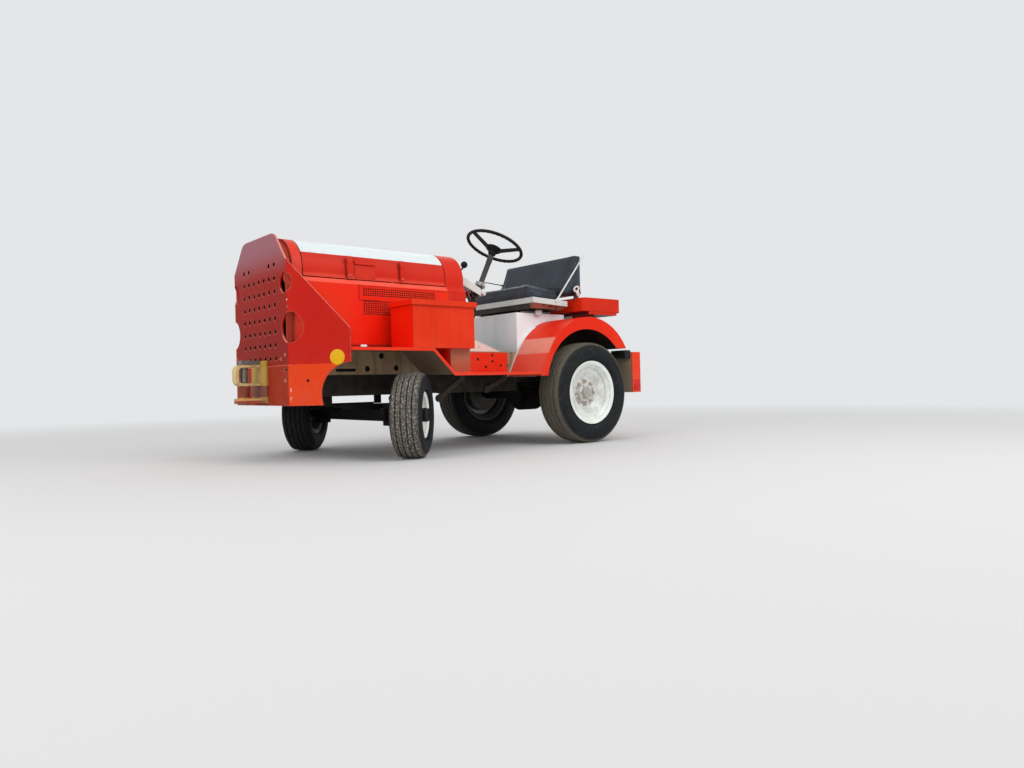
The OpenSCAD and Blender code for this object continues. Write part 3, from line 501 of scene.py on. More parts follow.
guardPaint = paintedSteel("guardPaint", color=(0.51, 0.005, 0.001), faded=(0.55, 0.012, 0.001), zones=(
    # faces turned forward are darker: painted shade
    zone((0.31, 0.008, 0.002), ahead=(0.93, 1.2), soft=0.05),
    zone((0.22, 0.007, 0.003), ahead=(0.93, 1.2), z=(0.55, 0.80), soft=0.12, strength=0.6),
    zone((0.34, 0.165, 0.200), ahead=(0.93, 1.2), z=(1.16, 1.6), soft=0.11, strength=0.85),
    zone((0.79, 0.050, 0.001), z=(0.0, 0.566), ahead=(-0.5, 0.93), soft=0.003, strength=0.90),
    # the cover plate's forward faces are darker than its sides: painted shade
    zone((0.34, 0.024, 0.001), z=(0.0, 0.566), ahead=(0.93, 1.2), side=(0.06, 1.0), soft=0.003, strength=0.75),
    # pale pink on the upper edge faces: painted highlight, with some wear
    zone(edgeHighlightAndWear, flat=(-0.1, 0.62), ahead=(-0.5, 0.5), side=(0.2405, 0.375), z=(1.15, 1.5), soft=0.002,
         strength=0.8),
    # near black on the edge faces in the middle, in the holes and cuts: painted shade
    zone((0.055, 0.006, 0.004), flat=(-0.1, 0.5), side=(-0.1, 0.25), z=(0.57, 1.17), soft=0.002),
    # faces turned up are lighter and pinker: painted highlight
    zone((0.80, 0.22, 0.16), up=(0.45, 1.2), soft=0.08, strength=0.85),
    zone(bareMark, side=(0.383, 0.391), z=(0.86, 0.935), patchy=(0.50, 0.56)),
    zone(bareMark, side=(0.395, 0.399), z=(0.355, 0.435), patchy=(0.44, 0.50))),
    # the wide pale edges are worn paint and painted highlight
    streaks=0.12, rough=0.55, dust=0.07, edgeColor=(0.84, 0.34, 0.27), wear=0.85, edge=0.0055, chips=0.5)
# pale edges are painted highlights and the dark chips painted shadow on the bolt heads, together with wear
guardBoltPaint = paintedSteel("guardBoltPaint", color=(0.42, 0.055, 0.035), faded=(0.50, 0.09, 0.06), dust=0.1,
                              edgeColor=(0.88, 0.52, 0.44), chipColor=(0.05, 0.008, 0.006), wear=0.95, chips=0.9,
                              chipCut=0.58)
frameBeige = paintedSteel("frameBeige", color=(0.26, 0.160, 0.090), faded=(0.40, 0.31, 0.20), streaks=0.5,
                          zones=(zone((0.012, 0.011, 0.010), z=(0.0, 0.507), soft=0.003),),
                          grime=(0.030, 0.022, 0.016), dustColor=(0.16, 0.125, 0.09), dust=0.25, dustTop=0.6,
                          edgeColor=(0.30, 0.22, 0.15), chipColor=(0.10, 0.04, 0.02), rough=0.6)
bumperPaint = paintedSteel("bumperPaint", color=(0.32, 0.25, 0.17), faded=(0.40, 0.32, 0.23), zones=(
    zone((0.88, 0.040, 0.006), side=(0.6505, 1.0), soft=0.0015),
    zone((0.82, 0.045, 0.010), y=(1.355, 1.4), soft=0.002)),
    dustColor=(0.40, 0.32, 0.24), edgeColor=(0.95, 0.30, 0.16), edge=0.005)
fenderPaint = paintedSteel("fenderPaint", zones=(
    # forward faces of the slope lighter and pinker: painted highlight
    zone((0.86, 0.16, 0.10), ahead=(0.15, 1.2), z=(0.47, 0.66), side=(0.0, 0.648), soft=0.03, strength=0.45),
    zone((0.88, 0.36, 0.27), ahead=(0.15, 1.2), z=(0.635, 0.742), side=(0.0, 0.648), soft=0.007, strength=0.78),
    # near black on the arch's inner wall: painted shade
    zone(archShade, side=(0.290, 0.3085), z=(0.40, 0.86), up=(-0.2, 0.2)),
    zone((0.84, 0.86, 0.85), side=(0.295, 0.320), y=(0.20, 0.62), z=(0.47, 1.0), soft=0.0015),
    # faces turned down near black: painted shade
    zone(archShade, up=(-1.3, -0.10), soft=0.05)))
hitchPaint = paintedSteel("hitchPaint", color=(0.74, 0.55, 0.24), faded=(0.62, 0.46, 0.22), zones=(
    zone((0.68, 0.34, 0.10), z=(0.0, 0.386), y=(-1.6, -1.329), soft=0.002),
    zone((0.30, 0.035, 0.018), z=(0.0, 0.368), y=(-1.6, -1.329), soft=0.003),
    zone((0.50, 0.30, 0.04), y=(-1.333, -1.2), soft=0.002),
    zone((0.20, 0.022, 0.012), z=(0.386, 0.452), soft=0.002)), grime=(0.20, 0.12, 0.05),
    edgeColor=(0.25, 0.17, 0.11), wear=0.9, chipColor=(0.22, 0.10, 0.05), chips=0.9, chipCut=0.60, streaks=0.5,
    edge=0.005)
boxPaint = paintedSteel("toolboxPaint", color=(0.75, 0.026, 0.003), faded=(0.80, 0.040, 0.007), zones=(
    # forward faces lighter: painted light on the shaded end
    zone((0.92, 0.012, 0.001), ahead=(0.5, 1.2), strength=0.85),))
whitePaint = paintedSteel("whitePaint", color=(0.80, 0.81, 0.80), faded=(0.70, 0.70, 0.67), grime=(0.30, 0.26, 0.22),
                          streaks=0.28, dustTop=1.3, dust=0.25, dustColor=(0.50, 0.45, 0.38), chips=0.5, chipCut=0.69,
                          edgeColor=(0.36, 0.30, 0.25), chipColor=(0.20, 0.12, 0.08))
toePaint = paintedSteel("toeBoardSidePaint", color=(0.84, 0.72, 0.66), faded=(0.86, 0.78, 0.72), streaks=0.3, dust=0.15,
                        grime=(0.50, 0.34, 0.26), edgeColor=(0.86, 0.50, 0.40), chipColor=(0.30, 0.16, 0.10))
trayPaint = paintedSteel("seatTrayPaint", color=(0.67, 0.74, 0.71), faded=(0.61, 0.67, 0.64), zones=(
    # near black under the pan's lip: painted shade
    zone((0.026, 0.020, 0.017), z=(0.96, 1.0055), side=(0.0, 0.395), soft=0.002),
    zone((0.36, 0.17, 0.12), z=(0.968, 1.0050), side=(0.358, 0.3935), soft=0.001, patchy=(0.30, 0.48))),
    grime=(0.30, 0.30, 0.26), streaks=0.3, dustTop=1.3, dust=0.2, edgeColor=(0.40, 0.34, 0.28),
    chipColor=(0.20, 0.12, 0.08))
# set lighter and bluer to offset the shade under the pan and the orange light bounced onto it: painted light
greyPaint = paintedSteel("seatBoxPaint", color=(0.83, 0.95, 0.98), faded=(0.87, 0.97, 0.99), grime=(0.58, 0.66, 0.68),
                         streaks=0.20, dustTop=0.8, dust=0.15, edgeColor=(0.30, 0.26, 0.22),
                         chipColor=(0.16, 0.10, 0.07))
columnPaint = paintedSteel("columnPaint", color=(0.028, 0.030, 0.034), faded=(0.050, 0.052, 0.056), dustTop=1.6,
                           dust=0.2, grime=(0.03, 0.03, 0.03), edgeColor=(0.16, 0.16, 0.16),
                           chipColor=(0.16, 0.14, 0.12))
underBlack = paintedSteel("chassisBlack", color=(0.004, 0.004, 0.005), faded=(0.010, 0.010, 0.010), wear=0.4, dust=0.16,
                          grime=(0.003, 0.003, 0.003), dustColor=(0.060, 0.048, 0.038), dustTop=0.9, chips=0.7,
                          edgeColor=(0.05, 0.038, 0.030), chipColor=(0.05, 0.024, 0.013), chipCut=0.62, rough=0.75,
                          specular=0.08)
platePaint = paintedSteel("blankPlatePaint", color=(0.62, 0.024, 0.008), faded=(0.68, 0.042, 0.018), wear=0.9,
                          edgeColor=(0.20, 0.014, 0.008), edge=0.0022, chips=0.2)
markYellow = paintedSteel("markYellow", color=(0.78, 0.44, 0.004), faded=(0.70, 0.36, 0.004), grime=(0.40, 0.16, 0.01),
                          dust=0.06, edgeColor=(0.6, 0.25, 0.01), chipColor=(0.5, 0.05, 0.01), chips=0.9, chipCut=0.60,
                          streaks=0.4)
castGrey = bareSteel("castGrey", color=(0.30, 0.30, 0.29), dark=(0.13, 0.13, 0.13), rusty=0.5)
capSteel = bareSteel("capSteel", color=(0.62, 0.62, 0.59), dark=(0.24, 0.22, 0.20), rusty=0.45, scale=48, metal=0.1)
boltSteel = bareSteel("boltSteel", color=(0.55, 0.54, 0.52), dark=(0.34, 0.32, 0.30), rusty=0.35, scale=60)
lugSteel = bareSteel("lugSteel", color=(0.66, 0.63, 0.58), dark=(0.42, 0.33, 0.26), rusty=0.6, scale=70, metal=0.1)
latchSteel = bareSteel("latchSteel", color=(0.78, 0.12, 0.07), dark=(0.55, 0.04, 0.02), rusty=0.25, metal=0.0,
                       dusty=0.05)
linkBrown = bareSteel("linkBrown", color=(0.075, 0.062, 0.050), dark=(0.022, 0.018, 0.015), rust=(0.10, 0.05, 0.028),
                      rusty=0.5, dust=(0.12, 0.10, 0.08), dusty=0.3, metal=0.1, rough=0.7)
# dark red for the seams, and painted shade for the strips beside the latches
seamAndShadeDark = mouldedPlastic("seamAndShadeDark", (0.22, 0.012, 0.006), (0.36, 0.030, 0.014), 0.7, grain=80)
# near black for painted shade behind the vents and in the guard's and the frame's holes
holeShade = mouldedPlastic("holeShade", (0.006, 0.005, 0.005), (0.012, 0.010, 0.010), 0.9, grain=80)
gripBlack = mouldedPlastic("gripBlack", (0.005, 0.005, 0.006), (0.016, 0.016, 0.018))
cableBlack = mouldedPlastic("cableBlack", (0.015, 0.015, 0.016), (0.050, 0.046, 0.042), grain=200)
beltWeb = mouldedPlastic("beltWeb", (0.020, 0.020, 0.022), (0.060, 0.058, 0.058), 0.75, grain=900, depth=0.0006)
buckleCream = mouldedPlastic("buckleCream", (0.74, 0.60, 0.57), (0.82, 0.74, 0.70), 0.45)
reflectorRed = mouldedPlastic("reflectorRed", (0.62, 0.012, 0.016), (0.72, 0.03, 0.03), 0.16, grain=300, depth=0.0008)
cushionVinyl = seatVinyl("cushionVinyl", (0.028, 0.034, 0.043), (0.048, 0.060, 0.078),
                         (((0.30, 0.505, 1.10), 0.15), ((-0.30, 0.505, 1.10), 0.13)))
backVinyl = seatVinyl("backrestVinyl", (0.022, 0.030, 0.041), (0.036, 0.048, 0.066),
                      (((0.30, 0.84, 1.13), 0.12), ((-0.32, 0.84, 1.14), 0.12)))

for material, names in (
        (orangePaint, ("rear_deck",)), (stepPaint, ("step_left", "step_right")), (hoodPaint, ("hood_cover",)),
        (sidePaint, ("engine_side_left", "engine_side_right")), (cowlPaint, ("front_cowl", "rear_cowl")),
        (guardPaint, ("front_guard",)), (frameBeige, ("main_frame",)), (bumperPaint, ("rear_bumper",)),
        (fenderPaint, ("rear_fender_left", "rear_fender_right")), (hitchPaint, ("front_hitch",)),
        (boxPaint, ("toolbox", "toolbox_lid")), (whitePaint, ("dash_panel", "toe_board", "seat_stays")),
        (trayPaint, ("seat_pan",)), (greyPaint, ("seat_box",)), (columnPaint, ("steering_column",)),
        (gripBlack, ("controls",)), (castGrey, ("engine", "front_hitch_pin")),
        (underBlack, ("front_axle", "knuckle_left", "knuckle_right", "tie_rod", "leaf_springs", "rear_axle", "radiator",
                      "rear_hitch"))):
    coat(material, *names)
for wheel in wheelPlaces:
    coat(rimPaint(wheel, **rimFacts[wheel.split("_")[0]]), "rim_" + wheel)
print("baggage tug: node finishes done")


# a tyre's side from rim to shoulder: the bead as rise over the rim's lip and inset from its edge, and the wall as
# share of its height and inset from its widest place
beadSteps = ((0.001, 0.012), (0.006, 0.006), (0.010, 0.002), (0.013, 0.0005))
wallSteps = ((0.26, 0.0085), (0.30, 0.0055), (0.315, 0.0025), (0.345, 0.0020), (0.36, 0.0036), (0.42, 0.0015),
             (0.48, 0.0004), (0.56, 0.0014), (0.64, 0.0040), (0.655, 0.0028), (0.685, 0.0034), (0.70, 0.0062),
             (0.76, 0.0090), (0.84, 0.0125))
grooveFacts = {"places": (0.675, 0.235, -0.235, -0.675), "width": 0.0042, "depth": 0.0075, "crown": 0.0055}
tyreFacts = {
    "rear": {"outer": 0.355, "lip": 0.2225, "halfWidth": 0.1075, "rimHalf": 0.092, "tread": 0.084, "steps": 84,
             "height": 0.0035},
    "front": {"outer": 0.256, "lip": 0.139, "halfWidth": 0.095, "rimHalf": 0.076, "tread": 0.071, "steps": 66,
              "height": 0.0030},
}


def tyreProfile(facts):
    outer, half, tread = facts["outer"], facts["halfWidth"], facts["tread"]
    inner = facts["lip"] - 0.018
    base = outer - facts["height"]
    crown, width = grooveFacts["crown"], grooveFacts["width"]
    side = [(inner, facts["rimHalf"] - 0.014)]
    side += [(facts["lip"] + rise, facts["rimHalf"] - inset) for rise, inset in beadSteps]
    side += [(inner + share * (outer - inner), half - inset) for share, inset in wallSteps]
    side += [(base - 0.012, tread + 0.0045), (base - crown, tread - 0.001)]

    def onCrown(along, depth=0.0):
        return base - crown * abs(along / tread) ** 2.4 - depth, along

    top = [onCrown(tread * 0.97)]
    for middle in grooveFacts["places"]:
        for offset, depth in ((width, 0.0), (width * 0.7, grooveFacts["depth"]),
                              (-width * 0.7, grooveFacts["depth"]), (-width, 0.0)):
            top.append(onCrown(tread * middle + offset, depth))
        if middle > -0.6:
            top.append(onCrown(tread * (middle - 0.22)))
    top.append(onCrown(tread * -0.97))
    return side + top + [(radius, -along) for radius, along in reversed(side)]


def wheelFrame(wheel):
    middle, outward = wheelPlaces[wheel]
    return alongLine(middle, middle + outward)[0]


def wheelBody(wheel):
    end, side = wheel.split("_")
    return side + "_" + end + "_wheel"


def buildTyre(wheel, facts):
    bm = bmesh.new()
    addTurned(bm, tyreProfile(facts), Matrix.Identity(4), facts["steps"])
    bmesh.ops.recalc_face_normals(bm, faces=bm.faces)
    crest = facts["outer"] - facts["height"] - 0.0062
    blocks = [face for face in bm.faces if all(math.hypot(v.co.x, v.co.y) > crest for v in face.verts)
              and abs(face.calc_center_median().z) < facts["tread"]]
    bmesh.ops.inset_individual(bm, faces=blocks, thickness=0.0013, depth=facts["height"] - 0.0003,
                               use_even_offset=True)
    bmesh.ops.transform(bm, matrix=wheelFrame(wheel), verts=bm.verts)
    return finishPiece("tyre_" + wheel + "_treaded", bm, wornRubber(wheel, facts["outer"], facts["tread"]),
                       body=wheelBody(wheel))


for wheel in wheelPlaces:
    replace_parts(buildTyre(wheel, tyreFacts[wheel.split("_")[0]]), "tyre_" + wheel)


# turned fittings of the wheels as profiles of radius and height: a middle, and six-sided nuts on a circle
fittingFacts = {
    "wheelNuts": {"end": "rear", "material": lugSteel, "slot": "cast_grey", "count": 8, "circle": 0.0825, "nut": (
        (0.0140, 0.0125), (0.0140, 0.0150), (0.0118, 0.0170), (0.0118, 0.0302), (0.0095, 0.0325), (0.0060, 0.0325),
        (0.0060, 0.0365), (0.0050, 0.0378), (0, 0.0378))},
    "hubCap": {"end": "rear", "material": capSteel, "slot": "cast_grey", "steps": 48, "middle": (
        (0.0385, 0.027), (0.0390, 0.031), (0.0388, 0.049), (0.0360, 0.0528), (0.0250, 0.0545), (0.0240, 0.0530),
        (0.0150, 0.0535), (0, 0.0540)), "count": 6, "circle": 0.051, "phase": 0.5, "nut": (
        (0.0058, 0.026), (0.0058, 0.031), (0.0045, 0.0325), (0, 0.0325))},
    "hubNose": {"end": "front", "material": underBlack, "slot": "paint_black", "steps": 40, "middle": (
        (0.0405, 0.024), (0.0405, 0.070), (0.0425, 0.072), (0.0425, 0.084), (0.0400, 0.0860), (0.0400, 0.0945),
        (0.0360, 0.0985), (0.0200, 0.1000), (0, 0.1000)), "count": 5, "circle": 0.057, "nut": (
        (0.0125, 0.0225), (0.0125, 0.025), (0.0100, 0.0265), (0.0100, 0.0390), (0.0060, 0.0410), (0.0055, 0.0480),
        (0, 0.0480))},
}


def buildFitting(kind, wheel, facts):
    place = wheelFrame(wheel)
    bm = bmesh.new()
    if "middle" in facts:
        addTurned(bm, facts["middle"], place, facts["steps"])
    for k in range(facts["count"]):
        angle = math.tau * (k + facts.get("phase", 0)) / facts["count"]
        spot = Matrix.Rotation(angle, 4, "Z") @ Matrix.Translation((0, facts["circle"], 0))
        addTurned(bm, facts["nut"], place @ spot, 6)
    finishPiece(kind + "_" + wheel, bm, facts["material"], body=wheelBody(wheel))


for wheel in wheelPlaces:
    for kind, facts in fittingFacts.items():
        if wheel.startswith(facts["end"]):
            buildFitting(kind, wheel, facts)
print("baggage tug: wheels done")


steeringFacts = {"top": (0.260, rearAxleY - 0.511, 1.378), "lean": 26.0, "ring": 0.198, "rimRadius": 0.0118,
                 "rimLift": 0.027, "grips": 36, "gripDepth": 0.0022, "spokes": (27, 147, 267),
                 "spokeHalf": (0.0060, 0.0135), "spokeStart": 0.030,
                 "boss": ((0.0105, -0.0400), (0.0265, -0.0400), (0.0275, -0.0360), (0.0270, -0.0260)),
                 "cap": ((0.0580, 0.0035), (0.0595, 0.0075), (0.0565, 0.0120), (0.0440, 0.0160), (0.0320, 0.0176),
                         (0.0310, 0.0158), (0.0200, 0.0170), (0, 0.0176))}
columnPlace = Matrix.Translation(steeringFacts["top"]) @ turned(-steeringFacts["lean"], "X")


def buildSteeringWheel(facts):
    bm = bmesh.new()
    addRing(bm, facts["ring"], facts["rimRadius"], facts["rimLift"], 14, 144)
    for v in bm.verts:  # finger hollows under the ring
        below = (facts["rimLift"] + 0.001 - v.co.z) / facts["rimRadius"]
        if below > 0:
            wave = 0.5 + 0.5 * math.cos(facts["grips"] * math.atan2(v.co.y, v.co.x))
            v.co.z += facts["gripDepth"] * wave * min(1.0, below * 1.4)
    path, length = alongLine((facts["spokeStart"], 0, 0), (facts["ring"] - 0.002, 0, facts["rimLift"] - 0.001))
    halfX, halfY = facts["spokeHalf"]
    for angle in facts["spokes"]:
        turn = turned(angle, "Z")
        before = set(bm.verts)
        addBlock(bm, (-halfX, -halfY, 0), (halfX, halfY, length), 0.0040, 3, turn @ path)
        for v in newest(bm, before):  # wide and low at the hub, narrow at the ring
            flat = turn.inverted() @ v.co
            reach = max(0.0, min(1.0, (flat.x - 0.03) / 0.165))
            flat.y *= 1.75 - 1.0 * min(1.0, reach * 2.2)
            flat.z -= 0.010 * (1 - reach) ** 2
            v.co = turn @ flat
    ribs = list(facts["boss"])
    for k in range(6):  # the skirt under the hub widens in small steps
        along = -0.0260 + k * 0.0048
        width = 0.0285 + 0.0265 * (k / 5) ** 1.3
        ribs += [(width, along), (width + 0.0012, along + 0.0034), (width - 0.0004, along + 0.0042)]
    addTurned(bm, ribs + list(facts["cap"]), Matrix.Identity(4), 48)
    bmesh.ops.transform(bm, matrix=columnPlace, verts=bm.verts)
    return finishPiece("steeringWheelMoulded", bm, gripBlack, 40, "hand_wheel")


# heights are along the column, from the hub down; the lever is placed from the column's top and the rear axle
columnFacts = {"tube": 0.0185, "jacket": 0.0215, "clampLow": -0.300, "clampHigh": -0.272, "foot": -0.470,
               "top": -0.052, "collar": (-0.110, -0.060), "shaft": 0.0098, "shaftTop": -0.030, "lugReach": 0.0310,
               "lever": ((0.020, -0.632, 1.135), (0.030, -0.600, 1.1345), (0.0315, -0.540, 1.130),
                         (0.032, -0.466, 1.124)),
               "knob": ((0.032, -0.472, 1.1245), (0.032, -0.460, 1.1235))}


def buildColumn(facts):
    bm = bmesh.new()
    tube, jacket, (low, high) = facts["tube"], facts["jacket"], facts["collar"]
    addTurned(bm, [(0, facts["foot"]), (jacket, facts["foot"]), (jacket, facts["clampLow"] + 0.004),
                   (tube, facts["clampLow"] + 0.008), (tube, low - 0.002), (tube + 0.0015, low), (tube + 0.0015, high),
                   (tube - 0.001, facts["top"]), (facts["shaft"], facts["top"]), (facts["shaft"], facts["shaftTop"]),
                   (0, facts["shaftTop"])], columnPlace, 40)
    return finishPiece("steeringColumnTube", bm, columnPaint)


def buildColumnLever(facts):
    bm = bmesh.new()
    lever, knob = ([(steeringFacts["top"][0] + x, rearAxleY + y, z) for x, y, z in facts[part]]
                   for part in ("lever", "knob"))
    addPipe(bm, bendThrough(lever), 0.0032)
    addPipe(bm, knob, 0.0060)
    finishPiece("columnLever", bm, cableBlack, 60)


def buildColumnClamp(facts):
    bm = bmesh.new()
    jacket, low, high = facts["jacket"], facts["clampLow"], facts["clampHigh"]
    addTurned(bm, [(jacket, low), (jacket + 0.0055, low + 0.001), (jacket + 0.0055, high - 0.001), (jacket, high)],
              columnPlace, 40)
    for side in (-1, 1):
        for angle in (0, 90):
            place = columnPlace @ turned(angle, "Z")
            reach = side * facts["lugReach"]
            addBlock(bm, (reach - 0.007, -0.009, low + 0.001), (reach + 0.007, 0.009, high - 0.001), 0.002, 2, place)
            addBolt(bm, place @ Vector((side * 0.0315, -0.009, (low + high) / 2)), place.to_3x3() @ Vector((0, -1, 0)),
                    0.0055, 0.005, 0.0085)
    finishPiece("columnClamp", bm, boltSteel)


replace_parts(buildSteeringWheel(steeringFacts), "steering_wheel")
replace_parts(buildColumn(columnFacts), "steering_column")
buildColumnLever(columnFacts)
buildColumnClamp(columnFacts)


cushionFacts = {"half": 0.362, "front": 0.502, "rear": 0.822, "low": 1.052, "topFront": 1.138, "topRear": 1.100,
                "round": 0.024, "cap": 0.010, "voxel": 0.006, "fill": 0.75,
                "hollow": {"x": 0.06, "halfX": 0.24, "halfY": 0.15, "depth": 0.007}}
backrestFacts = {"half": 0.392, "round": 0.016, "cap": 0.007, "voxel": 0.006, "fill": 0.8}


def roundedSlab(bm, outline, half, bevel):
    # a side view in Y and Z, drawn out along X and rounded
    face = bm.faces.new([bm.verts.new((-half, y, z)) for y, z in outline])
    made = bmesh.ops.extrude_face_region(bm, geom=[face])
    bmesh.ops.translate(bm, vec=(2 * half, 0, 0), verts=pointsOf(made))
    bmesh.ops.recalc_face_normals(bm, faces=bm.faces)
    roundEdges(bm, bm.edges, bevel, 4)


def puffed(piece, cap, frames=20):
    # pressure fills the pad, and each point moves no further than the cap
    mesh = piece.data
    start = [v.co.copy() for v in mesh.vertices]
    cloth = piece.modifiers.new("filling", "CLOTH")
    cloth.settings.use_pressure = True
    cloth.settings.uniform_pressure_force = 4.0
    cloth.settings.effector_weights.gravity = 0.0
    cloth.settings.quality = 4
    scene = bpy.context.scene
    for step in range(1, frames + 1):
        scene.frame_set(step)
    shape = piece.evaluated_get(bpy.context.evaluated_depsgraph_get()).data
    after = [v.co.copy() for v in shape.vertices]
    piece.modifiers.remove(cloth)
    scene.frame_set(1)
    for vertex, first, last in zip(mesh.vertices, start, after):
        move = last - first
        vertex.co = first + (move * (cap / move.length) if move.length > cap else move)
    mesh.update()


def startPad(name, outline, facts):
    # the slab is melted to even small faces, and filled
    bm = bmesh.new()
    roundedSlab(bm, outline, facts["half"], facts["round"])
    mesh = bpy.data.meshes.new(name)
    bm.to_mesh(mesh)
    bm.free()
    piece = bpy.data.objects.new(name, mesh)
    bpy.context.scene.collection.objects.link(piece)
    remesh = piece.modifiers.new("voxels", "REMESH")
    remesh.mode = "VOXEL"
    remesh.voxel_size = facts["voxel"]
    bpy.context.view_layer.update()
    melted = bpy.data.meshes.new_from_object(piece.evaluated_get(bpy.context.evaluated_depsgraph_get()))
    piece.modifiers.remove(remesh)
    piece.data = melted
    puffed(piece, facts["cap"])
    return piece


def finishPad(piece, material, node):
    bm = bmesh.new()
    bm.from_mesh(piece.data)
    bmesh.ops.smooth_vert(bm, verts=bm.verts, factor=0.5, use_axis_x=True, use_axis_y=True, use_axis_z=True)
    bmesh.ops.recalc_face_normals(bm, faces=bm.faces)
    bm.to_mesh(piece.data)
    bm.free()
    piece.data.materials.clear()
    piece.data.materials.append(material)
    piece.data.shade_smooth()
    finer = piece.modifiers.new("finer", "SUBSURF")
    finer.levels = 1
    finer.render_levels = 1
    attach(piece, "root")
    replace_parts(piece, node)
    return piece


def buildCushion(facts):
    front, rear, low = facts["front"], facts["rear"], facts["low"]
    piece = startPad("seatCushionPad", [(front, low), (front, facts["topFront"]), (rear, facts["topRear"]),
                                        (rear, low - 0.012)], facts)
    hollow = facts["hollow"]
    for v in piece.data.vertices:  # the pan keeps the underside flat, and use has pressed a hollow into the top
        if v.co.z < low + 0.004:
            v.co.z = max(v.co.z, low - 0.0035 - 0.016 * max(0.0, v.co.y - 0.525) / 0.34)
        elif v.co.z > facts["topRear"] - 0.02:
            offX, offY = (v.co.x - hollow["x"]) / hollow["halfX"], (v.co.y - (front + rear) / 2) / hollow["halfY"]
            v.co.z -= hollow["depth"] * (max(0.0, 1 - offX ** 2) * max(0.0, 1 - offY ** 2))
    return finishPad(piece, cushionVinyl, "seat_cushion")


def buildBackrest(facts):
    low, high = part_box("seat_back")
    outline = [(low.y + 0.006, low.z + 0.007), (low.y + 0.006, low.z + 0.026), (high.y - 0.076, high.z - 0.003),
               (high.y - 0.002, high.z - 0.003), (high.y - 0.002, low.z + 0.007)]
    return finishPad(startPad("seatBackPad", outline, facts), backVinyl, "seat_back")


cushion = buildCushion(cushionFacts)
backrest = buildBackrest(backrestFacts)
print("baggage tug: padded seat done")


def surfaceOf(piece):
    bm = bmesh.new()
    bm.from_mesh(piece.data)
    tree = BVHTree.FromBMesh(bm)
    bm.free()
    return tree


def snapped(tree, points):
    hits = [tree.find_nearest(point) for point in points]
    return [hit + normal * 0.0006 for hit, normal, index, distance in hits]


def rimPath(halfX, startY, endY, z, corner):
    # a rounded rectangle in plan; z is a function of y
    points = []
    for cx, cy, first in ((halfX - corner, endY - corner, 0), (-halfX + corner, endY - corner, 90),
                          (-halfX + corner, startY + corner, 180), (halfX - corner, startY + corner, 270)):
        for k in range(9):
            angle = math.radians(first + k * 90 / 8)
            points.append(Vector((cx + corner * math.cos(angle), cy + corner * math.sin(angle), 0)))
    dense = []
    for a, b in zip(points, points[1:] + points[:1]):
        pieces = max(1, int((b - a).length / 0.018))
        dense += [a.lerp(b, k / pieces) for k in range(pieces)]
    return [Vector((p.x, p.y, z(p.y))) for p in dense]


pipingFacts = {"radius": 0.0030, "lifts": (-0.004, -0.058), "corner": 0.030, "backSteps": 24}


def buildPiping(seat, facts):
    bm = bmesh.new()
    tree = surfaceOf(cushion)
    for lift in facts["lifts"]:
        path = rimPath(seat["half"] + 0.006, seat["front"] - 0.008, seat["rear"] + 0.006,
                       lambda y: seat["topFront"] + lift - 0.012
                       + (seat["topRear"] - seat["topFront"]) * (y - seat["front"]) / 0.32, facts["corner"])
        addPipe(bm, snapped(tree, path), facts["radius"], closed=True, rounds=2)
    low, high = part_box("seat_back")
    half = seat["half"] + 0.022
    corners = [(-half, low.z + 0.035), (half, low.z + 0.035), (half, high.z - 0.014), (-half, high.z - 0.014)]
    loop = []
    for (ax, az), (bx, bz) in zip(corners, corners[1:] + corners[:1]):
        for k in range(facts["backSteps"]):
            t = k / facts["backSteps"]
            x, z = ax + (bx - ax) * t, az + (bz - az) * t
            lean = (z - low.z - 0.019) / (high.z - low.z - 0.019)
            loop.append(Vector((x, low.y + 0.004 + lean * (high.y - low.y - 0.085), z)))
    addPipe(bm, snapped(surfaceOf(backrest), loop), facts["radius"], closed=True, rounds=2)
    return finishPiece("seatPiping", bm, cushionVinyl, 60)


buildPiping(cushionFacts, pipingFacts)


hoodFacts = {"latches": (-0.895, -0.525), "strapTop": 1.205, "strapLow": 1.088, "strap": (-0.0235, -0.0175),
             "ring": 0.010, "ringBar": 0.0030,
             "rivet": ((0.0055, -0.006), (0.0055, 0.0005), (0.0040, 0.0020), (0, 0.0022))}


def buildLatches(facts):
    bm = bmesh.new()
    for y in facts["latches"]:
        addBlock(bm, (hoodSide - 0.001, y + facts["strap"][0], facts["strapLow"] + 0.004),
                 (hoodSide + 0.011, y + facts["strap"][1], facts["strapTop"]))
    finishPiece("hoodLatchShadowStrips", bm, seamAndShadeDark, body="hood")


def buildLatchRings(facts):
    bm = bmesh.new()
    for y in facts["latches"]:
        centre = Vector((hoodSide + 0.0135, y, facts["strapLow"] + 0.004))
        place = alongLine(centre, centre + Vector((1, 0, 0)))[0]
        before = set(bm.verts)
        addRing(bm, facts["ring"], facts["ringBar"], 0, 10, 28)
        bmesh.ops.transform(bm, matrix=place, verts=newest(bm, before))
        addTurned(bm, facts["rivet"], place @ Matrix.Translation((0, 0.012, 0)), 16)
    finishPiece("hoodLatchRings", bm, latchSteel, body="hood")


# the two plates as low and high corners in Y and Z, with thickness and bevel; the rivets in Y and Z
plateFacts = {"plates": ((-0.856, 1.172, -0.712, 1.208, 0.0015, 0.0007),
                         (-0.858, 1.088, -0.716, 1.160, 0.0020, 0.0008)),
              "rivets": ((-0.851, 1.094), (-0.723, 1.094), (-0.851, 1.154), (-0.723, 1.154)),
              "rivet": ((0.0030, 0.001), (0.0026, 0.0024), (0, 0.0030))}


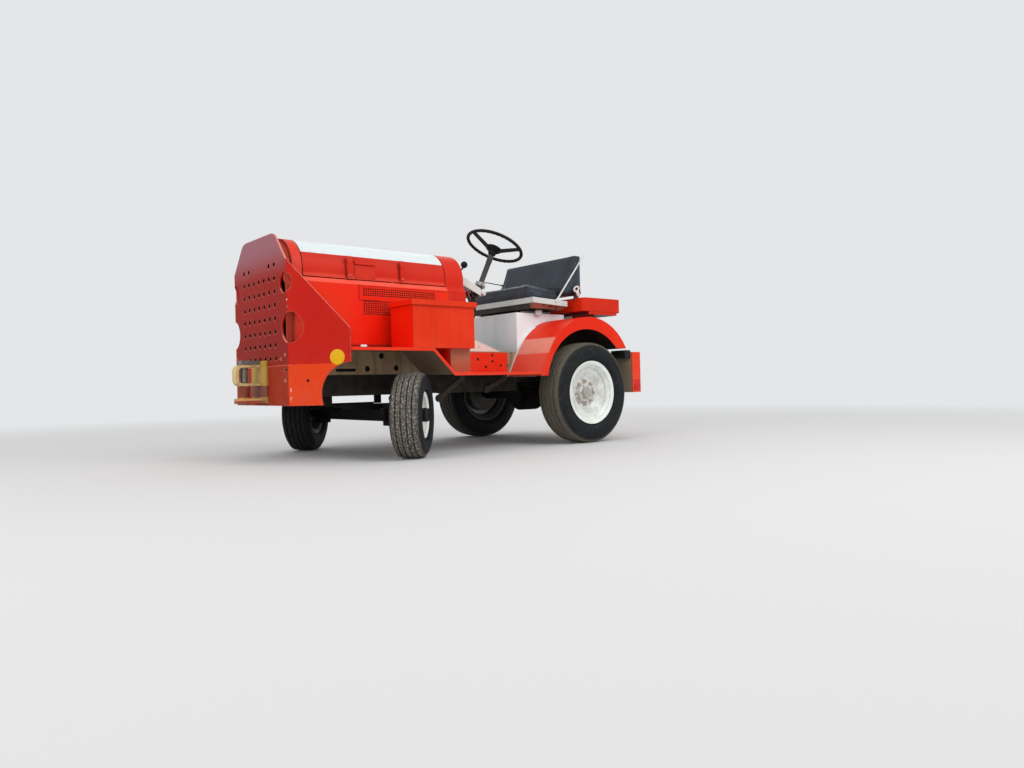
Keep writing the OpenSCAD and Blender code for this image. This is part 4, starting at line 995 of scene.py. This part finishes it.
def buildPlates(facts):
    bm = bmesh.new()
    x = hoodSide
    for lowY, lowZ, highY, highZ, thick, bevel in facts["plates"]:
        addBlock(bm, (x - 0.001, lowY, lowZ), (x + thick, highY, highZ), bevel, 1)
    for y, z in facts["rivets"]:
        addTurned(bm, facts["rivet"], alongLine((x, y, z), (x + 1, y, z))[0], 10)
    finishPiece("blankPlates", bm, platePaint, body="hood")


buildLatches(hoodFacts)
buildLatchRings(hoodFacts)
buildPlates(plateFacts)


# the pressed panel's edge on the engine side and the sill under it, as radius and points in Y and Z
seamFacts = ((0.0022, ((-0.845, 1.046), (-0.845, 0.962), (-0.843, 0.957), (-0.838, 0.955), (-0.710, 0.955))),
             (0.0012, ((-0.845, 1.040), (-0.186, 1.040))), (0.0024, ((-1.180, 0.682), (-0.195, 0.682))))
ventShadeFacts = {"inset": (0.0066, 0.0052), "along": (-0.830, -0.275), "upright": (0.858, 1.036)}
tabFacts = {"across": (0.640, 0.6585), "along": (-1.005, -0.968), "upright": (0.6545, 0.6680)}


def buildSideSeams(seams):
    bm = bmesh.new()
    for side in bothSides:
        for radius, points in seams:
            addPipe(bm, [(side * (sideFace + 0.0002), y, z) for y, z in points], radius, rounds=1)
    finishPiece("engineSideSeams", bm, seamAndShadeDark, 60)


# near black sheets inset behind the engine sides' vents: painted shade
def buildVentShadeSheets(facts):
    bm = bmesh.new()
    addPair(bm, [sideFace - inset for inset in facts["inset"]], facts["along"], facts["upright"], 0.0004, 1)
    finishPiece("ventShadeSheets", bm, holeShade)


def buildStepTab(facts):
    bm = bmesh.new()
    addPair(bm, facts["across"], facts["along"], facts["upright"], 0.003)
    finishPiece("stepTabs", bm, whitePaint)


buildSideSeams(seamFacts)
buildVentShadeSheets(ventShadeFacts)
buildStepTab(tabFacts)


guardFacts = {"seam": 0.562, "bolts": ((0.358, 0.621), (0.356, 0.537), (0.354, 0.476), (0.300, 0.600)),
              "hole": (0.117, 0.474), "holeDisc": ((0.0085, -0.0005), (0.0085, 0.0004), (0.0070, 0.0003), (0, 0.0002)),
              "mark": (0.292, 0.600), "markDisc": ((0.0430, -0.0002), (0.0430, 0.0005), (0.0425, 0.0007), (0, 0.0007)),
              "weldRadius": 0.0032, "weldStep": 0.007, "weldWave": 0.0012}


def wingPoint(along, z, off=0.0, side=1):
    point = guardFold + Vector((math.cos(wingTurn), math.sin(wingTurn), 0)) * along
    point += Vector((math.sin(wingTurn), -math.cos(wingTurn), 0)) * off
    return Vector((side * point.x, point.y, z))


def wingFrame(spot, side=1):
    # a place on a wing, looking straight out of it
    outward = wingPoint(0, 0, 1.0, side) - wingPoint(0, 0, 0.0, side)
    base = wingPoint(*spot, 0.0, side)
    return alongLine(base, base + outward)[0]


def buildWeld(facts):
    bm = bmesh.new()
    step, wave = facts["weldStep"], facts["weldWave"]
    for side in bothSides:
        path = []
        for x in [0.105 + step * k for k in range(39)]:
            lift = wave * wobble.noise(Vector((x * 60, side, 0)))
            path.append(Vector((side * x, guardFold.y - 0.0006, facts["seam"] + lift)))
        for k in range(3):
            lift = wave * wobble.noise(Vector((k * 0.6, side, 3)))
            path.append(wingPoint(0.010 + step * k, facts["seam"] + lift, 0.0006, side))
        addPipe(bm, path, facts["weldRadius"], rounds=2)
    for v in bm.verts:
        v.co += Vector((0, 0, 0.0007)) * wobble.noise(v.co * 400)
    finishPiece("guardWeld", bm, guardPaint, 60)


def buildGuardBolts(facts):
    bm = bmesh.new()
    for side in bothSides:
        for x, z in facts["bolts"]:
            addBolt(bm, (side * x, guardFold.y, z), (0, -1, 0), 0.0080, 0.006, 0.0125)
    finishPiece("guardBolts", bm, guardBoltPaint)


# dark discs on the wing's holes: painted shade of the open holes
def buildGuardHoles(facts):
    bm = bmesh.new()
    for side in bothSides:
        addTurned(bm, facts["holeDisc"], wingFrame(facts["hole"], side), 20)
    finishPiece("guardHoleShades", bm, holeShade)


def buildGuardMark(facts):
    # a thin round painted mark on the near wing
    bm = bmesh.new()
    addTurned(bm, facts["markDisc"], wingFrame(facts["mark"]), 48)
    finishPiece("guardMark", bm, markYellow)


buildWeld(guardFacts)
buildGuardBolts(guardFacts)
buildGuardHoles(guardFacts)
buildGuardMark(guardFacts)


reflectorFacts = {"across": (0.6598, 0.6645), "along": (1.287, 1.354), "upright": (0.362, 0.438)}
# dark boxes in front of the bumper: body, lens and two screws each
lampFacts = {"body": ((0.500, 0.645), (1.2150, 1.2755), (0.600, 0.660)), "screws": (0.515, 0.630),
             "lens": ((0.506, 0.639), (1.2115, 1.2160), (0.606, 0.654)), "screwZ": 0.630,
             "screw": ((0.0045, 0.0), (0.0040, 0.0018), (0, 0.0022))}


def buildReflectors(facts):
    bm = bmesh.new()
    addPair(bm, facts["across"], facts["along"], facts["upright"], 0.0018)
    finishPiece("sideReflectors", bm, reflectorRed)


def buildLampBoxes(facts):
    bm = bmesh.new()
    addPair(bm, *facts["body"], 0.0035, 3)
    addPair(bm, *facts["lens"], 0.0015)
    face, z = facts["lens"][1][0], facts["screwZ"]
    for side in bothSides:
        for x in facts["screws"]:
            addTurned(bm, facts["screw"], alongLine((side * x, face, z), (side * x, 0.0, z))[0], 12)
    finishPiece("rearLampBoxes", bm, cableBlack)


buildReflectors(reflectorFacts)
buildLampBoxes(lampFacts)


# the closed sides under the sloping toe board, as corners in Y and Z
toeSideFacts = {"x": 0.2952, "thick": 0.0024, "corners": ((-0.036, 0.6555), (0.282, 0.6555), (-0.036, 0.7720))}
# the frame's holes open onto a dark inside: each hole's Y, Z and width, and the slot
shadeFacts = {"x": (0.2880, 0.2935), "holes": ((-0.765, 0.542, 0.036), (-0.665, 0.622, 0.036), (-0.561, 0.547, 0.036)),
              "slotY": (-0.9775, -0.8455), "slotZ": (0.5262, 0.5438)}
# flat links with an eye at each end, from the frame rails down to the springs, in Y and Z
linkFacts = {"x": 0.2935, "links": (((-0.049, 0.470), (-0.235, 0.345)), ((0.323, 0.468), (0.165, 0.395))),
             "half": (0.0165, 0.0055),
             "eye": ((0, 0), (0.0235, 0), (0.0245, 0.001), (0.0245, 0.019), (0.0235, 0.020), (0.0150, 0.020),
                     (0.0140, 0.0185), (0.0100, 0.0185), (0.0100, 0.0225), (0, 0.0230))}


def buildToeSides(facts):
    bm = bmesh.new()
    for side in bothSides:
        corners = [bm.verts.new((side * facts["x"], y, z)) for y, z in facts["corners"]]
        made = bmesh.ops.extrude_face_region(bm, geom=[bm.faces.new(corners)])
        bmesh.ops.translate(bm, vec=(side * facts["thick"], 0, 0), verts=pointsOf(made))
    finishPiece("toeBoardSides", bm, toePaint)


def buildFrameShades(facts):
    bm = bmesh.new()
    x = facts["x"][0]
    for side in bothSides:
        for y, z, width in facts["holes"]:
            radius = width / 2 - 0.0002
            addTurned(bm, [(0, 0), (radius, 0), (radius, 0.0050), (0, 0.0050)],
                      alongLine((side * x, y, z), (side * 1.0, y, z))[0], 24)
    addPair(bm, facts["x"], facts["slotY"], facts["slotZ"], 0.0004, 1)
    finishPiece("frameHoleShades", bm, holeShade)


def buildFrameLinks(facts):
    bm = bmesh.new()
    halfX, halfY = facts["half"]
    for side in bothSides:
        for link in facts["links"]:
            high, low = (Vector((side * facts["x"], *end)) for end in link)
            path, length = alongLine(high, low)
            addBlock(bm, (-halfX, -halfY, 0), (halfX, halfY, length), 0.002, 2, path @ turned(90, "Z"))
            for end in (high, low):
                place = alongLine(end - Vector((side * 0.010, 0, 0)), end + Vector((side, 0, 0)))[0]
                addTurned(bm, facts["eye"], place, 28)
    finishPiece("frameLinks", bm, linkBrown)


buildToeSides(toeSideFacts)
buildFrameShades(shadeFacts)
buildFrameLinks(linkFacts)


beltFacts = {"path": ((0.4085, 0.962, 1.110), (0.4105, 0.960, 1.085), (0.4095, 0.950, 1.060), (0.4065, 0.930, 1.040)),
             "half": 0.021, "thick": 0.0022}
buckleFacts = {"place": (0.4095, 0.952, 1.126), "lean": 24,
               "eye": ((0.013, 0.0), (0.026, 0.0), (0.028, 0.002), (0.026, 0.0045), (0.015, 0.0050), (0.013, 0.0035),
                       (0.013, 0.0)), "oval": (0.82, 1.25, 1.0),
               "tongue": ((0.018, -0.016, -0.0005), (0.058, 0.014, 0.0055)),
               "button": ((0.030, -0.009, 0.0045), (0.052, 0.007, 0.0075))}
# three cables from the dash down, as radius and points
cableFacts = (
    (0.006, ((0.240, 0.085, 1.06), (0.252, 0.100, 1.00), (0.235, 0.130, 0.93), (0.200, 0.120, 0.86),
             (0.190, 0.090, 0.79))),
    (0.005, ((0.215, 0.070, 1.07), (0.205, 0.100, 1.01), (0.218, 0.130, 0.95), (0.170, 0.110, 0.88),
             (0.150, 0.060, 0.80))),
    (0.0045, ((0.285, 0.060, 1.075), (0.292, 0.075, 1.03), (0.275, 0.105, 0.98), (0.245, 0.100, 0.90))))
pedalFacts = {"x": (0.02, 0.16), "y": 0.115, "z": 0.815, "lean": 38, "pad": (0.038, 0.006, 0.045), "ribs": 5,
              "ribStep": 0.0165, "arm": ((0.112, 0.812), (0.070, 0.85), (0.030, 0.95), (-0.030, 1.00)),
              "armRadius": 0.008}


def buildBelt(facts):
    bm = bmesh.new()
    path = bendThrough(facts["path"])
    edge = bm.edges.new([bm.verts.new(path[0] + Vector((0, w, 0))) for w in (-facts["half"], facts["half"])])
    for a, b in zip(path, path[1:]):
        made = bmesh.ops.extrude_edge_only(bm, edges=[edge])
        edge = [part for part in made["geom"] if isinstance(part, bmesh.types.BMEdge)][0]
        bmesh.ops.translate(bm, vec=b - a, verts=pointsOf(made))
    bmesh.ops.solidify(bm, geom=bm.faces[:] + bm.edges[:] + bm.verts[:], thickness=facts["thick"])
    finishPiece("beltStrap", bm, beltWeb)


def buildBuckle(facts):
    bm = bmesh.new()
    addTurned(bm, facts["eye"], Matrix.Identity(4), 32)
    bmesh.ops.scale(bm, vec=facts["oval"], verts=bm.verts)
    addBlock(bm, *facts["tongue"], 0.003, 3)
    addBlock(bm, *facts["button"], 0.002, 2)
    place = Matrix.Translation(facts["place"]) @ turned(90, "Y") @ turned(facts["lean"], "Z")
    bmesh.ops.transform(bm, matrix=place, verts=bm.verts)
    finishPiece("beltBuckle", bm, buckleCream)


def buildCabCables(cables):
    bm = bmesh.new()
    for radius, points in cables:
        addPipe(bm, bendThrough(points), radius)
    finishPiece("dashCables", bm, cableBlack, 60)


def buildPedals(facts):
    bm = bmesh.new()
    pad = Vector(facts["pad"])
    for x in facts["x"]:
        tilt = Matrix.Translation((x, facts["y"], facts["z"])) @ turned(facts["lean"], "X")
        addBlock(bm, -pad, pad, 0.004, 2, tilt)
        for k in range(facts["ribs"]):
            z = k * facts["ribStep"]
            addBlock(bm, (-0.034, 0.005, -0.036 + z), (0.034, 0.0095, -0.029 + z), 0.001, 1, tilt)
        addPipe(bm, bendThrough([(x, *point) for point in facts["arm"]]), facts["armRadius"])
    finishPiece("footPedals", bm, cableBlack, 40)


buildBelt(beltFacts)
buildBuckle(buckleFacts)
buildCabCables(cableFacts)
buildPedals(pedalFacts)
print("baggage tug: small parts done")


stageFacts = {"reach": 60.0, "floor": (0.70, 0.70, 0.70), "backdrop": (0.78, 0.79, 0.80), "fadeFrom": 2.6,
              "fadeTo": 9.0, "sky": 0.72}


def buildStage(facts):
    bm = bmesh.new()
    bmesh.ops.create_circle(bm, cap_ends=True, segments=96, radius=facts["reach"])
    mesh = bpy.data.meshes.new("studioFloor")
    bm.to_mesh(mesh)
    bm.free()
    floor = bpy.data.objects.new("studioFloor", mesh)
    bpy.context.scene.collection.objects.link(floor)
    pale = startFinish("floorPale", rough=0.9)
    pale.put(pale.shader.inputs["Base Color"], facts["floor"])
    glow = pale.node("Emission", facts["backdrop"])
    far = pale.fade(pale.vector("LENGTH", pale.spot), facts["fadeFrom"], facts["fadeTo"])
    seen = pale.times(far, pale.node("LightPath").outputs["Is Camera Ray"])
    mixed = pale.node("MixShader", seen, pale.shader.outputs[0], glow.outputs[0])
    pale.put(pale.tree.nodes["Material Output"].inputs["Surface"], mixed.outputs[0])
    mesh.materials.append(pale.material)


def buildWorld(facts):
    world = bpy.data.worlds.new("studio")
    bpy.context.scene.world = world
    world.use_nodes = True
    air = Wiring(world.node_tree)
    sky = world.node_tree.nodes["Background"]
    air.put(sky.inputs["Color"], (1.0, 1.0, 1.0))
    sky.inputs["Strength"].default_value = facts["sky"]
    seen = air.node("Background", facts["backdrop"])
    rays = air.node("LightPath").outputs
    seenOrGlossy = air.calc("MAXIMUM", rays["Is Camera Ray"], rays["Is Glossy Ray"])
    either = air.calc("MAXIMUM", seenOrGlossy, rays["Is Transmission Ray"])
    mixed = air.node("MixShader", either, sky.outputs[0], seen.outputs[0])
    air.put(world.node_tree.nodes["World Output"].inputs["Surface"], mixed.outputs[0])


# soft lamps: place, aim, size and power
lampPlaces = {
    "keyLamp": ((5.2, 0.8, 5.0), (0, 0, 0.7), 3.4, 150),
    "fillLamp": ((1.6, -6.2, 3.6), (0, -0.6, 0.7), 3.4, 100),
    "backLamp": ((-4.0, 3.5, 4.5), (0, 0, 0.7), 3.4, 35),
}


def softLamp(name, place, aim, size, power):
    lamp = bpy.data.lights.new(name, "AREA")
    lamp.energy = power
    lamp.size = size
    holder = bpy.data.objects.new(name, lamp)
    holder.location = place
    holder.rotation_euler = (Vector(aim) - Vector(place)).to_track_quat("-Z", "Y").to_euler()
    bpy.context.scene.collection.objects.link(holder)


# the photograph's camera: its focal length in pixels of a 1024 pixel width, its place and its axes
cameraFacts = {"sensor": 36.0, "focal": 763.5 / 1024, "place": (4.4398, -3.1209, 0.4290),
               "right": (0.646869, 0.762211, -0.024397), "upward": (0.015547, 0.018805, 0.999702),
               "backward": (0.762442, -0.647056, 0.000314)}


def buildCamera(facts):
    camera = bpy.data.cameras.new("photoCamera")
    camera.sensor_fit = "HORIZONTAL"
    camera.sensor_width = facts["sensor"]
    camera.lens = facts["focal"] * facts["sensor"]
    viewer = bpy.data.objects.new("photoCamera", camera)
    turn = Matrix((facts["right"], facts["upward"], facts["backward"])).transposed()
    viewer.matrix_world = Matrix.Translation(facts["place"]) @ turn.to_4x4()
    bpy.context.scene.collection.objects.link(viewer)
    bpy.context.scene.camera = viewer


buildStage(stageFacts)
buildWorld(stageFacts)
for name, facts in lampPlaces.items():
    softLamp(name, *facts)
buildCamera(cameraFacts)
bpy.context.scene.view_settings.view_transform = "Standard"

print("baggage tug: stage and camera done")
